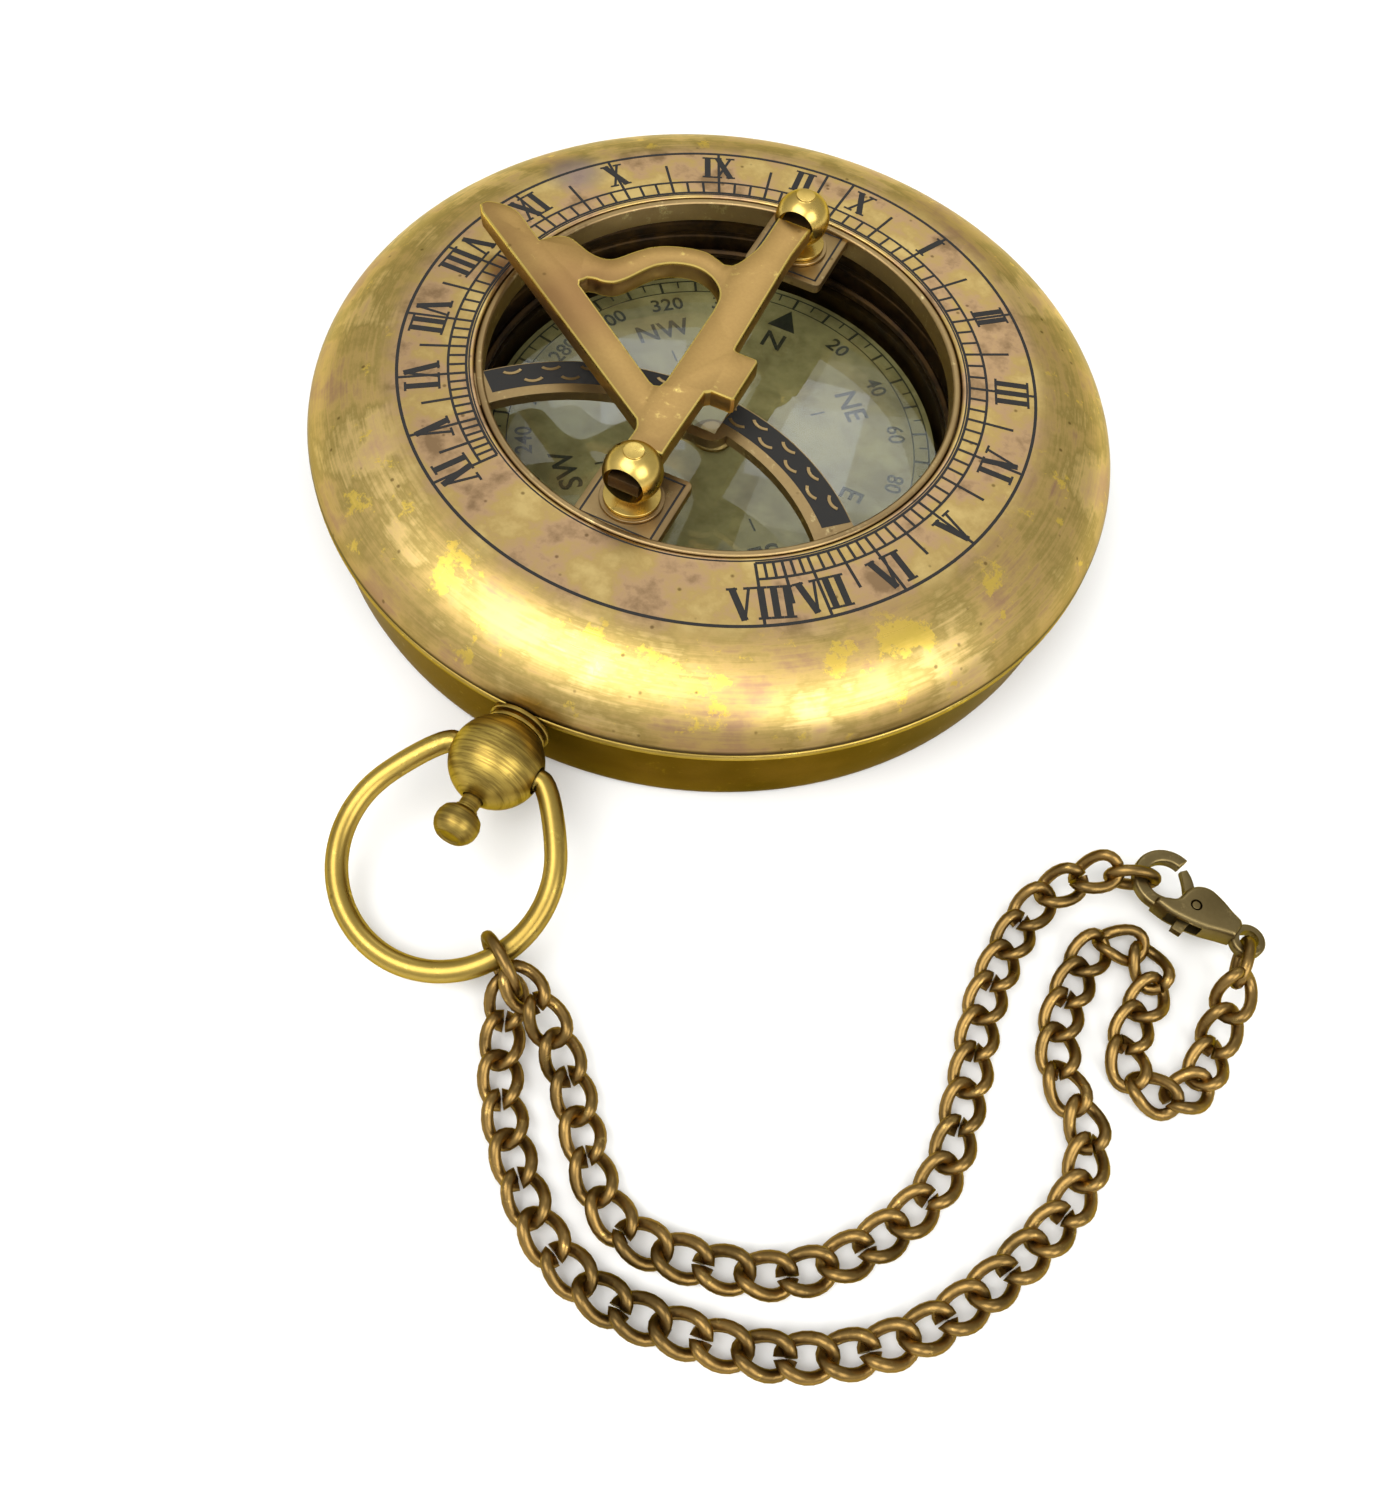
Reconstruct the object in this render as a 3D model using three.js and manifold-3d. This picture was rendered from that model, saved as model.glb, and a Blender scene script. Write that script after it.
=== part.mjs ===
// Pocket sundial compass: a round brass case with a windowed lid, a folding gnomon between two ball
// posts, a floating compass card under glass, a pendant with bail and push button, and a curb chain.
// Millimetres, Z up. The origin is the centre of the flat underside, +Y is the hinge side and the
// noon line, -Y is the pendant side.

import * as THREE from "three";
import { mergeVertices } from "three/addons/utils/BufferGeometryUtils.js";
import Module from "manifold-3d";

const wasm = await Module();
wasm.setup();

// Gaps
const RUN_GAP = 0.3; // between pieces that turn or slide on each other
const SEAT_GAP = 0.1; // between pieces seated on each other
const OVERRUN = 1.5; // how far a cutting solid runs past what it cuts

// Case
const CASE_R = 38;
const SEAM_Z = 9.6;
const SEAM_GAP = 0.3;
const BASE_WALL = 2.1;
const BASE_FLOOR = 1.2;
const BASE_FOOT_IN = 1.25; // how far the foot's bend stands in from the case's widest radius
const BASE_FLAT_IN = 1.15; // and the flat's edge from the foot's bend
const BASE_FOOT_R = CASE_R - BASE_FOOT_IN;
const BASE_FLAT_R = BASE_FOOT_R - BASE_FLAT_IN;
const BASE_FOOT_H = 1.5;
const RIDGE_H = 0.95;
const RIDGE_OUT = 0.3;
const LEDGE_Z = 7.8;
const LEDGE_W = 1.3;
const STEP_T = 0.5;
const STEP_H = 1.05;

// Lid
const DIAL_Z = 15.6;
const DOME_W = 8.75;
const DIAL_R = CASE_R - DOME_W;
const DIAL_CROWN = 0.66;
const LID_WALL = 1.2;
const DIAL_W = 6.85;
const WINDOW_R = DIAL_R - DIAL_W;
const DOME_POWER = 1.67;

// Compass chamber
const WELL_OUT = 1.2;
const WELL_R = WINDOW_R + WELL_OUT;
const GLASS_LEDGE_W = 1.1;
const CHAMBER_R = WELL_R - GLASS_LEDGE_W;
const WELL_WALL = 1;
const WELL_TOP_Z = 13.2;
const BOWL_FLOOR = 1;
const DECK_T = 0.7;
const GLASS_SEAT_Z = 7;
const GLASS_T = 1;
const GLASS_RING_IN_R = CHAMBER_R + SEAT_GAP;
const GLASS_RING_H = 0.75;

// Card
const CARD_GAP = 0.7;
const CARD_R = CHAMBER_R - CARD_GAP;
const CARD_T = 0.35;
const CARD_TOP_Z = 5.35;
const CAP_R = 2;
const CAP_H = 0.9;
const CAP_BORE_R = 0.75;
const PIVOT_R = 1.5;
const PIVOT_TIP_R = 0.12;
const MAGNET_L = 24;
const MAGNET_W = 1.6;
const MAGNET_T = 0.9;
const MAGNET_X = 4.2;

// Dial bridge
const LIP_W = 0.7;
const LIP_R = WINDOW_R - RUN_GAP / 2 - LIP_W;
const POST_IN = 3.55; // from the lip to a ball post's middle
const POST_Y = LIP_R - POST_IN;
const LIP_TOP_Z = 15.85;
const BRIDGE_TOP_Z = 15.5;
const BRIDGE_T = 1;
const FLANGE_W = 1.9;
const FLANGE_R = WINDOW_R + FLANGE_W;
const FLANGE_T = 0.75;
const TAB_W = 8;
const TAB_L = 7.65;
const TAB_INNER_Y = LIP_R - TAB_L;
const TAB_CORNER_R = 0.6;
const BAND_CENTRE_X = -0.3;
const BAND_PAST_LIP = 6.25;
const BAND_CENTRE_Y = -(LIP_R + BAND_PAST_LIP);
const BAND_TOP_SHARE = 11 / 60; // where the band's outer edge crosses the noon line, of POST_Y
const BAND_OUT_R = -BAND_CENTRE_Y - BAND_TOP_SHARE * POST_Y;
const BAND_W = 3.8;
const BAND_IN_R = BAND_OUT_R - BAND_W;
const BOSS_WEST = 3.4;
const BOSS_END = 1.048; // of the boss left past the slot's near end

// Ball posts
const BALL_Z = 19;
const BALL_R = 2.6;
const WAIST_R = 1.15;
const COLLAR_R = 2.5;
const COLLAR_T = 0.3;
const WASHER_R = 2.85;
const WASHER_T = 0.3;
const STUD_R = 0.85;
const STUD_L = 2.4;
const NUT_R = 1.9;
const NUT_H = 0.9;
const TENON_BORE_R = 1.85;
const PIP_R = 0.9;
const PIP_H = 0.16;

// Gnomon. Shares are of its reach across and of the posts' distance along.
const GNOMON_PAST_LIP = 5.25;
const GNOMON_REACH = LIP_R + GNOMON_PAST_LIP;
const LUG_REACH = 4.3416;
const LUG_SHARE = LUG_REACH / GNOMON_REACH;
const LUG_CORNER = 0.009;
const LUG_END_SHARE = 0.414;
const SHOULDER_SHARE = 0.883;
const GNOMON_T = 1.8;
const TENON_W = 2.9;
const TENON_T = 1.3;
const TENON_SHORT = 0.7;
const LUG_GAP = 0.4;

// Case hinge and catch
const HINGE_IN = 0.8;
const HINGE_Y = CASE_R - HINGE_IN;
const BARREL_R = 1.15;
const HINGE_PIN_R = 0.5;
const LID_KNUCKLE_W = 5;
const BASE_KNUCKLE_W = 4.8;
const HINGE_WEB_T = 0.9;
const CATCH_PIVOT_Z = 2.6;
const CATCH_W = 4;
const CATCH_T = 1;
const CATCH_TOP_Z = 11.25;
const CATCH_NOSE_H = 0.6;
const CATCH_NOSE_IN = 6.2; // well inside the lid, so that the nose stays clear of its collision pieces
const CATCH_NOSE_R = CASE_R - CATCH_NOSE_IN;
const CATCH_NOSE_OUT = 0.9;
const CATCH_PIN_R = 0.5;
const CATCH_EAR_T = 1;
const STRIKE_W = 5;
const STRIKE_T = 0.5;

// Pendant
const PENDANT_Z = 7.6;
const PENDANT_R = 4;
const PENDANT_OUT = 4.2; // from the case's wall to the ball's middle
const PENDANT_Y = -(CASE_R + PENDANT_OUT);
const PENDANT_FLAT = 3;
const NECK_R = 2.05;
const NECK_RING_R = 2.75;
const NECK_RING_T = 0.36;
const STUB_R = 1.35;
const BUTTON_STEM_R = 0.7;
const BUTTON_STEM_GAP = 0.25;
const BUTTON_NECK_R = 0.95;
const BUTTON_R = 1.9;
const BUTTON_L = 2.7;
const BUTTON_TRAVEL = 0.8;
const SPIGOT_L = 1.6;

// Bail
const BAIL_R = 9;
const BAIL_WIRE_R = 0.95;
const BAIL_PIN_IN = 2.4;
const BAIL_DROOP_DEG = 17;
const BAIL_JOIN_DEG = 60;
const BAIL_STEP_DEG = 20;

// Chain
const LINK_L = 4.9;
const LINK_W = 3.7;
const LINK_WIRE = 1;
const LINK_BEAR = 0.2;
const LINK_TWIST = 0.62;
const CHAIN_LIFT = 0.12;
const JUMP_R = 2.6;

// Clasp
const CLASP_L = 11;
const CLASP_T = 2.4;
const CLASP_HOOK_T = 1.1;
const CLASP_HOOK_R = 2.8;
const CLASP_HOOK_IN_R = 1.65;
const CLASP_HOOK_U = 8;
const CLASP_HOOK_V = 0.9;
const CLASP_EYE_R = 1.45;
const CLASP_EYE_BORE_R = 0.82;
const CLASP_Z = 3.6;
const CLASP_SLOT = 1.4;
const CLASP_LEVER_T = 0.8;
const CLASP_PIVOT_U = 5;
const CLASP_PIVOT_V = -0.2;
const CLASP_PIN_R = 0.35;

// Facets
const CASE_STEPS = 48;
const SMALL_STEPS = 16;
const BAIL_STEPS = 36;
const BAIL_SIDES = 8;
const LINK_STEPS = 8;
const LINK_SIDES = 4;
const PIN_STEPS = 12;
const BORE_STEPS = 24;
const BALL_STEPS = 7;
const DOME_STEPS = 7;
const DOME_INNER_STEPS = 4;
const BAND_STEPS = 28;
const NUT_SIDES = 6;

const rad = THREE.MathUtils.degToRad;

// A closed geometry as a solid. Flat slivers are dropped, and faces are turned to look out.
function solid(geometry) {
  const plain = geometry.clone();
  for (const name of Object.keys(plain.attributes)) {
    if (name !== "position") plain.deleteAttribute(name);
  }
  const merged = mergeVertices(plain, 1e-4);
  const index = merged.index.array;
  const tris = [];
  for (let i = 0; i < index.length; i += 3) {
    const [a, b, c] = [index[i], index[i + 1], index[i + 2]];
    if (a !== b && b !== c && c !== a) tris.push(a, b, c);
  }
  const vertProperties = new Float32Array(merged.attributes.position.array);
  const make = (list) =>
    new wasm.Manifold(new wasm.Mesh({ numProp: 3, vertProperties, triVerts: new Uint32Array(list) }));
  const made = make(tris);
  if (made.volume() >= 0) return made;
  for (let i = 0; i < tris.length; i += 3) {
    [tris[i + 1], tris[i + 2]] = [tris[i + 2], tris[i + 1]];
  }
  return make(tris);
}

// A solid as a geometry with flat shading
function geometryOf(made) {
  const mesh = made.getMesh();
  const count = mesh.numProp;
  const points = new Float32Array(mesh.numVert * 3);
  for (let i = 0; i < mesh.numVert; i++) {
    points.set(mesh.vertProperties.subarray(i * count, i * count + 3), i * 3);
  }
  const geometry = new THREE.BufferGeometry();
  geometry.setAttribute("position", new THREE.BufferAttribute(points, 3));
  geometry.setIndex(new THREE.BufferAttribute(new Uint32Array(mesh.triVerts), 1));
  const flat = geometry.toNonIndexed();
  flat.computeVertexNormals();
  return flat;
}

const joined = (...list) => list.reduce((a, b) => a.add(b));
const cutBy = (body, ...list) => list.reduce((a, b) => a.subtract(b), body);

// A profile of [radius, height] points turned about Z. A profile off the axis is closed on itself.
function turned(profile, steps = SMALL_STEPS) {
  const points = profile.map(([r, z]) => new THREE.Vector2(r, z));
  const first = points[0];
  const last = points[points.length - 1];
  if (first.x > 0 || last.x > 0) points.push(first.clone());
  const geometry = new THREE.LatheGeometry(points, steps);
  geometry.rotateX(Math.PI / 2);
  return geometry;
}

// A profile of [radius, place] points turned about the Y axis at height z
function turnedAlongY(profile, z, steps = SMALL_STEPS) {
  const geometry = turned(profile, steps);
  geometry.rotateX(-Math.PI / 2);
  geometry.translate(0, 0, z);
  return geometry;
}

// A round bar along X, Y or Z, from one place to the other
function bar(axis, from, to, r, at = [0, 0, 0], steps = SMALL_STEPS) {
  const geometry = new THREE.CylinderGeometry(r, r, to - from, steps);
  geometry.translate(0, (from + to) / 2, 0);
  if (axis === "x") geometry.rotateZ(-Math.PI / 2);
  if (axis === "z") geometry.rotateX(Math.PI / 2);
  geometry.translate(...at);
  return geometry;
}

function block(x0, x1, y0, y1, z0, z1) {
  const geometry = new THREE.BoxGeometry(x1 - x0, y1 - y0, z1 - z0);
  geometry.translate((x0 + x1) / 2, (y0 + y1) / 2, (z0 + z1) / 2);
  return geometry;
}

function plate(points, z0, z1, holes = []) {
  const outline = points.map(([x, y]) => new THREE.Vector2(x, y));
  if (THREE.ShapeUtils.isClockWise(outline)) outline.reverse();
  const shape = new THREE.Shape(outline);
  for (const hole of holes) {
    shape.holes.push(new THREE.Path(hole.map(([x, y]) => new THREE.Vector2(x, y))));
  }
  const geometry = new THREE.ExtrudeGeometry(shape, { depth: z1 - z0, bevelEnabled: false });
  geometry.translate(0, 0, z0);
  return geometry;
}

// An outline of [y, z] points, given a thickness along X
function sidePlate(points, x0, x1) {
  const geometry = plate(points, x0, x1);
  const yAxis = new THREE.Vector3(0, 1, 0);
  const zAxis = new THREE.Vector3(0, 0, 1);
  const xAxis = new THREE.Vector3(1, 0, 0);
  geometry.applyMatrix4(new THREE.Matrix4().makeBasis(yAxis, zAxis, xAxis));
  return geometry;
}

// Points of an arc, angles in degrees from +X
function arc(x, y, r, from, to, steps) {
  return Array.from({ length: steps + 1 }, (_, i) => {
    const a = rad(from + ((to - from) * i) / steps);
    return [x + r * Math.cos(a), y + r * Math.sin(a)];
  });
}

function roundedRect(x0, x1, y0, y1, r) {
  return [
    ...arc(x1 - r, y1 - r, r, 0, 90, 2),
    ...arc(x0 + r, y1 - r, r, 90, 180, 2),
    ...arc(x0 + r, y0 + r, r, 180, 270, 2),
    ...arc(x1 - r, y0 + r, r, 270, 360, 2),
  ];
}

const finishes = {
  brass: [0xb08d3c, 0.35, 1],
  patina: [0x97733a, 0.42, 1],
  dark: [0x5a4522, 0.5, 1],
  bright: [0xd9b04a, 0.25, 1],
  bronze: [0x6e5428, 0.42, 1],
  steel: [0x8c8c88, 0.35, 1],
  card: [0xcfc6a0, 0.8, 0],
  glass: [0xdfe6e4, 0.05, 0],
};

const object = new THREE.Group();

function add(name, geometry, finish) {
  const [color, roughness, metalness] = finishes[finish];
  const material = new THREE.MeshStandardMaterial({ color, roughness, metalness });
  if (finish === "glass") {
    material.transparent = true;
    material.opacity = 0.3;
  }
  const mesh = new THREE.Mesh(geometry, material);
  mesh.name = name;
  object.add(mesh);
}

const addSolid = (name, made, finish) => add(name, geometryOf(made), finish);

// Outline of the domed rim, outside or offset inwards by a wall
const domeH = DIAL_Z - SEAM_Z;
function dome(wall, steps) {
  return Array.from({ length: steps + 1 }, (_, i) => {
    const t = (Math.PI / 2) * (1 - i / steps);
    const out = Math.sin(t) ** (2 / DOME_POWER);
    const up = Math.cos(t) ** (2 / DOME_POWER);
    return [DIAL_R + (DOME_W - wall) * out, SEAM_Z + (domeH - wall) * up];
  });
}
const crownZ = (r) => DIAL_Z + DIAL_CROWN * (1 - (r / DIAL_R) ** 2);

// Case base
const rimZ = SEAM_Z - SEAM_GAP / 2;
const stepOutR = CASE_R - LID_WALL - RUN_GAP - SEAT_GAP;
const stepInR = stepOutR - STEP_T;
const baseInR = stepInR - LEDGE_W;
const baseRimR = CASE_R - RIDGE_OUT;
const baseProfile = [
  [0, 0],
  [BASE_FLAT_R, 0],
  [BASE_FLAT_R + (BASE_FOOT_R - BASE_FLAT_R) * 0.7, BASE_FOOT_H * 0.25],
  [BASE_FOOT_R, BASE_FOOT_H],
  [baseRimR, rimZ - RIDGE_H],
  [CASE_R, rimZ - RIDGE_H * 0.75],
  [CASE_R, rimZ - RIDGE_H * 0.2],
  [CASE_R - RIDGE_OUT / 2, rimZ],
  [stepOutR, rimZ],
  [stepOutR, rimZ + STEP_H],
  [stepInR, rimZ + STEP_H],
  [stepInR, LEDGE_Z],
  [baseInR, LEDGE_Z],
  [baseInR, BASE_FLOOR],
  [0, BASE_FLOOR],
];
const notchHalf = LID_KNUCKLE_W / 2 + RUN_GAP + BASE_KNUCKLE_W + RUN_GAP;
const notchR = BARREL_R + RUN_GAP + SEAT_GAP;
const hingeAt = [0, HINGE_Y, SEAM_Z];
const webTop = SEAM_Z + notchR + LID_WALL / 2;
const webLow = SEAM_Z - notchR - BASE_WALL / 3;
const webIn = HINGE_Y - HINGE_WEB_T;
const hingeNotch = solid(bar("x", -notchHalf, notchHalf, notchR, hingeAt));
const hingeBore = solid(bar("x", -notchHalf, notchHalf, HINGE_PIN_R + RUN_GAP / 2, hingeAt));
const knuckleIn = LID_KNUCKLE_W / 2 + RUN_GAP;
const knuckleOut = knuckleIn + BASE_KNUCKLE_W;
const catchFront = CATCH_NOSE_OUT - CATCH_NOSE_R;
const catchBack = catchFront + CATCH_T;
const catchMid = (catchFront + catchBack) / 2;
const earIn = CATCH_W / 2 + RUN_GAP;
const earOut = earIn + CATCH_EAR_T;
const earTop = CATCH_PIVOT_Z + CATCH_PIN_R * 3;
const earBack = catchBack + CATCH_T;
const catchBoreR = CATCH_PIN_R + RUN_GAP / 2;
const catchAt = [0, catchMid, CATCH_PIVOT_Z];
const slotHalf = CATCH_W / 2 + RUN_GAP * 2;

function baseKnuckle(side) {
  const [x0, x1] = side > 0 ? [knuckleIn, knuckleOut] : [-knuckleOut, -knuckleIn];
  return joined(
    solid(bar("x", x0, x1, BARREL_R, hingeAt)),
    solid(block(x0, x1, webIn, HINGE_Y, webLow, SEAM_Z)),
  );
}

function catchEar(side) {
  const [x0, x1] = side > 0 ? [earIn, earOut] : [-earOut, -earIn];
  return solid(block(x0, x1, -baseInR - SEAT_GAP, earBack, BASE_FLOOR / 2, earTop));
}

const farNotch = block(
  -notchHalf - RUN_GAP,
  notchHalf + RUN_GAP,
  stepInR - OVERRUN,
  stepOutR + SEAT_GAP,
  rimZ,
  rimZ + STEP_H + OVERRUN,
);
const nearNotch = block(
  -slotHalf - RUN_GAP,
  slotHalf + RUN_GAP,
  -stepOutR - SEAT_GAP,
  -stepInR + OVERRUN,
  rimZ,
  rimZ + STEP_H + OVERRUN,
);
const stubHole = bar("y", -CASE_R - OVERRUN, -baseInR + OVERRUN, STUB_R + RUN_GAP / 2, [0, 0, PENDANT_Z]);
let caseBase = solid(turned(baseProfile, CASE_STEPS));
caseBase = cutBy(caseBase, solid(farNotch), solid(nearNotch), hingeNotch, solid(stubHole));
caseBase = joined(caseBase, baseKnuckle(1), baseKnuckle(-1), catchEar(1), catchEar(-1));
caseBase = cutBy(caseBase, hingeBore, solid(bar("x", -earOut - OVERRUN, earOut + OVERRUN, catchBoreR, catchAt)));
addSolid("case_base", caseBase, "brass");

// Bowl and deck, the pivot, the glass and its ring
const wellOutR = WELL_R + WELL_WALL;
const deckR = stepInR - RUN_GAP;
const bowlLow = BASE_FLOOR + RUN_GAP;
const deckLow = LEDGE_Z + SEAT_GAP;
const bowlFloorZ = bowlLow + BOWL_FLOOR;
let bowl = solid(
  turned(
    [
      [0, bowlLow],
      [wellOutR, bowlLow],
      [wellOutR, deckLow],
      [deckR, deckLow],
      [deckR, deckLow + DECK_T],
      [wellOutR, deckLow + DECK_T],
      [wellOutR, WELL_TOP_Z],
      [WELL_R, WELL_TOP_Z],
      [WELL_R, GLASS_SEAT_Z],
      [CHAMBER_R, GLASS_SEAT_Z],
      [CHAMBER_R, bowlFloorZ],
      [0, bowlFloorZ],
    ],
    CASE_STEPS,
  ),
);
const deckSlot = block(
  -slotHalf,
  slotHalf,
  -deckR - OVERRUN,
  earBack + BUTTON_TRAVEL * 2 + RUN_GAP,
  deckLow - OVERRUN,
  deckLow + DECK_T + OVERRUN,
);
bowl = bowl.subtract(solid(deckSlot));
addSolid("compass_bowl", bowl, "dark");

const cardLow = CARD_TOP_Z - CARD_T;
const capTop = CARD_TOP_Z + SEAT_GAP + CAP_H;
const capLow = cardLow - SEAT_GAP * 2;
const pivotTip = CARD_TOP_Z + CAP_H / 3;
const pivotLow = bowlFloorZ + SEAT_GAP;
addSolid(
  "pivot_pin",
  solid(
    turned([
      [0, pivotLow],
      [PIVOT_R, pivotLow],
      [PIVOT_R, pivotLow + PIVOT_R / 3],
      [PIVOT_R / 3, pivotLow + PIVOT_R * 0.6],
      [PIVOT_TIP_R, pivotTip],
      [0, pivotTip],
    ]),
  ),
  "steel",
);

const glassLow = GLASS_SEAT_Z + SEAT_GAP;
const glassTop = glassLow + GLASS_T;
const glassR = WELL_R - RUN_GAP;
addSolid(
  "compass_glass",
  solid(
    turned(
      [
        [0, glassLow],
        [glassR, glassLow],
        [glassR, glassTop - GLASS_T / 4],
        [glassR - GLASS_T / 4, glassTop],
        [0, glassTop],
      ],
      CASE_STEPS,
    ),
  ),
  "glass",
);

const ringLow = glassTop + SEAT_GAP;
const ringTop = ringLow + GLASS_RING_H;
const ringMidR = (GLASS_RING_IN_R + glassR) / 2;
addSolid(
  "glass_ring",
  solid(
    turned(
      [
        [GLASS_RING_IN_R, ringLow],
        [glassR, ringLow],
        [glassR, ringTop - GLASS_RING_H / 3],
        [ringMidR, ringTop],
        [GLASS_RING_IN_R, ringTop - GLASS_RING_H / 3],
      ],
      CASE_STEPS,
    ),
  ),
  "dark",
);

// Compass card with its cap and magnets
addSolid(
  "compass_card",
  solid(
    turned(
      [
        [CAP_R * 0.6, cardLow],
        [CARD_R, cardLow],
        [CARD_R, CARD_TOP_Z],
        [CAP_R * 0.6, CARD_TOP_Z],
      ],
      CASE_STEPS,
    ),
  ),
  "card",
);
const capNeckR = CAP_R * 0.6 - SEAT_GAP;
addSolid(
  "card_cap",
  solid(
    turned([
      [0, pivotTip + SEAT_GAP],
      [CAP_BORE_R / 2, pivotTip],
      [CAP_BORE_R, capLow],
      [capNeckR, capLow],
      [capNeckR, CARD_TOP_Z + SEAT_GAP],
      [CAP_R, CARD_TOP_Z + SEAT_GAP],
      [CAP_R, CARD_TOP_Z + SEAT_GAP + CAP_H / 3],
      [CAP_R * 0.6, capTop],
      [0, capTop],
    ]),
  ),
  "dark",
);
for (const [name, side] of [["magnet_east", 1], ["magnet_west", -1]]) {
  const x = side * MAGNET_X;
  const top = cardLow - SEAT_GAP;
  add(
    name,
    block(x - MAGNET_W / 2, x + MAGNET_W / 2, -MAGNET_L / 2, MAGNET_L / 2, top - MAGNET_T, top),
    "steel",
  );
}

// Lid shell with the window and the hinge knuckle
const lidRim = SEAM_Z + SEAM_GAP / 2;
const outerDome = dome(0, DOME_STEPS).map(([r, z]) => [r, Math.max(z, lidRim)]);
const innerDome = dome(LID_WALL, DOME_INNER_STEPS)
  .reverse()
  .map(([r, z]) => [r, Math.max(z, lidRim)]);
const windowTop = crownZ(WINDOW_R);
const lidEdge = LID_WALL / 12;
const lidProfile = [
  ...outerDome,
  [(DIAL_R + WINDOW_R) / 2, crownZ((DIAL_R + WINDOW_R) / 2)],
  [WINDOW_R, windowTop - lidEdge],
  [WINDOW_R, windowTop - LID_WALL],
  ...innerDome,
];
let lid = solid(turned(lidProfile, CASE_STEPS)).subtract(hingeNotch);
lid = joined(
  lid,
  solid(bar("x", -LID_KNUCKLE_W / 2, LID_KNUCKLE_W / 2, BARREL_R, hingeAt)),
  solid(block(-LID_KNUCKLE_W / 2, LID_KNUCKLE_W / 2, webIn, HINGE_Y, SEAM_Z + BARREL_R / 3, webTop)),
);
addSolid("lid_shell", lid.subtract(hingeBore), "brass");

// Strike plate: the tongue inside the lid's rim that the catch's nose holds down
const strikeLow = lidRim + SEAT_GAP;
const strikeOut = -(CASE_R - LID_WALL * 1.5);
const strikeIn = -(CATCH_NOSE_R + RUN_GAP);
const strikeHalf = STRIKE_W / 2;
addSolid(
  "strike_plate",
  solid(
    plate(
      [
        [-strikeHalf, strikeOut],
        [strikeHalf, strikeOut],
        [strikeHalf, strikeIn - STRIKE_T],
        [strikeHalf - STRIKE_T, strikeIn],
        [STRIKE_T - strikeHalf, strikeIn],
        [-strikeHalf, strikeIn - STRIKE_T],
      ],
      strikeLow,
      strikeLow + STRIKE_T,
    ),
  ),
  "brass",
);

// Dial bridge: lip ring in the window, flange under the lid, two tabs and the arc band
const lipOutR = WINDOW_R - RUN_GAP / 2;
const flangeTop = windowTop - LID_WALL - SEAT_GAP - DIAL_CROWN / 6;
const flangeLow = flangeTop - FLANGE_T;
const lipEdge = (lipOutR - LIP_R) / 4;
const bridgeLow = BRIDGE_TOP_Z - BRIDGE_T;
const lipRing = turned(
  [
    [LIP_R, flangeLow],
    [FLANGE_R, flangeLow],
    [FLANGE_R, flangeTop],
    [lipOutR, flangeTop],
    [lipOutR, LIP_TOP_Z - lipEdge],
    [lipOutR - lipEdge, LIP_TOP_Z],
    [LIP_R + lipEdge, LIP_TOP_Z],
    [LIP_R, LIP_TOP_Z - lipEdge],
  ],
  CASE_STEPS,
);
const insideLip = solid(
  bar("z", bridgeLow - OVERRUN, BRIDGE_TOP_Z + OVERRUN, (LIP_R + lipOutR) / 2, [0, 0, 0], CASE_STEPS),
);
const bandReach = LIP_R + OVERRUN;
const bandArc = Math.asin(Math.min(1, bandReach / BAND_OUT_R)) * THREE.MathUtils.RAD2DEG;
const bandOutline = [
  ...arc(BAND_CENTRE_X, BAND_CENTRE_Y, BAND_OUT_R, 90 - bandArc, 90 + bandArc, BAND_STEPS),
  ...arc(BAND_CENTRE_X, BAND_CENTRE_Y, BAND_IN_R, 90 + bandArc, 90 - bandArc, BAND_STEPS),
];
const bossTop = BAND_CENTRE_Y + BAND_OUT_R;
// The gnomon's lug swings down through the band: its slot reaches to where the lug's corner
// passes the band's top on its way from lying east to pointing down.
const lugCorner = Math.hypot(LUG_REACH, GNOMON_T / 2);
const slotEast = Math.sqrt(lugCorner ** 2 - (BALL_Z - BRIDGE_TOP_Z) ** 2) + LUG_GAP;
const slotWest = GNOMON_T / 2 + LUG_GAP;
const bossEast = slotEast + (BOSS_WEST - slotWest) / 2;
const slotNear = -LUG_END_SHARE * POST_Y - LUG_GAP;
const boss = roundedRect(-BOSS_WEST, bossEast, slotNear - BOSS_END, bossTop, BOSS_WEST / 2);
const lugWay = block(
  -slotWest,
  slotEast,
  slotNear,
  bossTop + OVERRUN,
  bridgeLow - OVERRUN,
  BRIDGE_TOP_Z + OVERRUN,
);
function tab(side) {
  const reach = (LIP_R + lipOutR) / 2;
  const [y0, y1] = side > 0 ? [TAB_INNER_Y, reach] : [-reach, -TAB_INNER_Y];
  return solid(
    plate(roundedRect(-TAB_W / 2, TAB_W / 2, y0, y1, TAB_CORNER_R), bridgeLow, BRIDGE_TOP_Z),
  );
}
const studHole = (side) =>
  solid(
    bar("z", bridgeLow - OVERRUN, BRIDGE_TOP_Z + OVERRUN, STUD_R + RUN_GAP, [0, side * POST_Y, 0]),
  );
const bandPlate = solid(plate(bandOutline, bridgeLow, BRIDGE_TOP_Z));
const bossPlate = solid(plate(boss, bridgeLow, BRIDGE_TOP_Z));
let bridge = joined(bandPlate, bossPlate, tab(1), tab(-1)).intersect(insideLip);
bridge = cutBy(bridge, solid(lugWay), studHole(1), studHole(-1));
addSolid("dial_bridge", bridge.add(solid(lipRing)), "patina");

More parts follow.
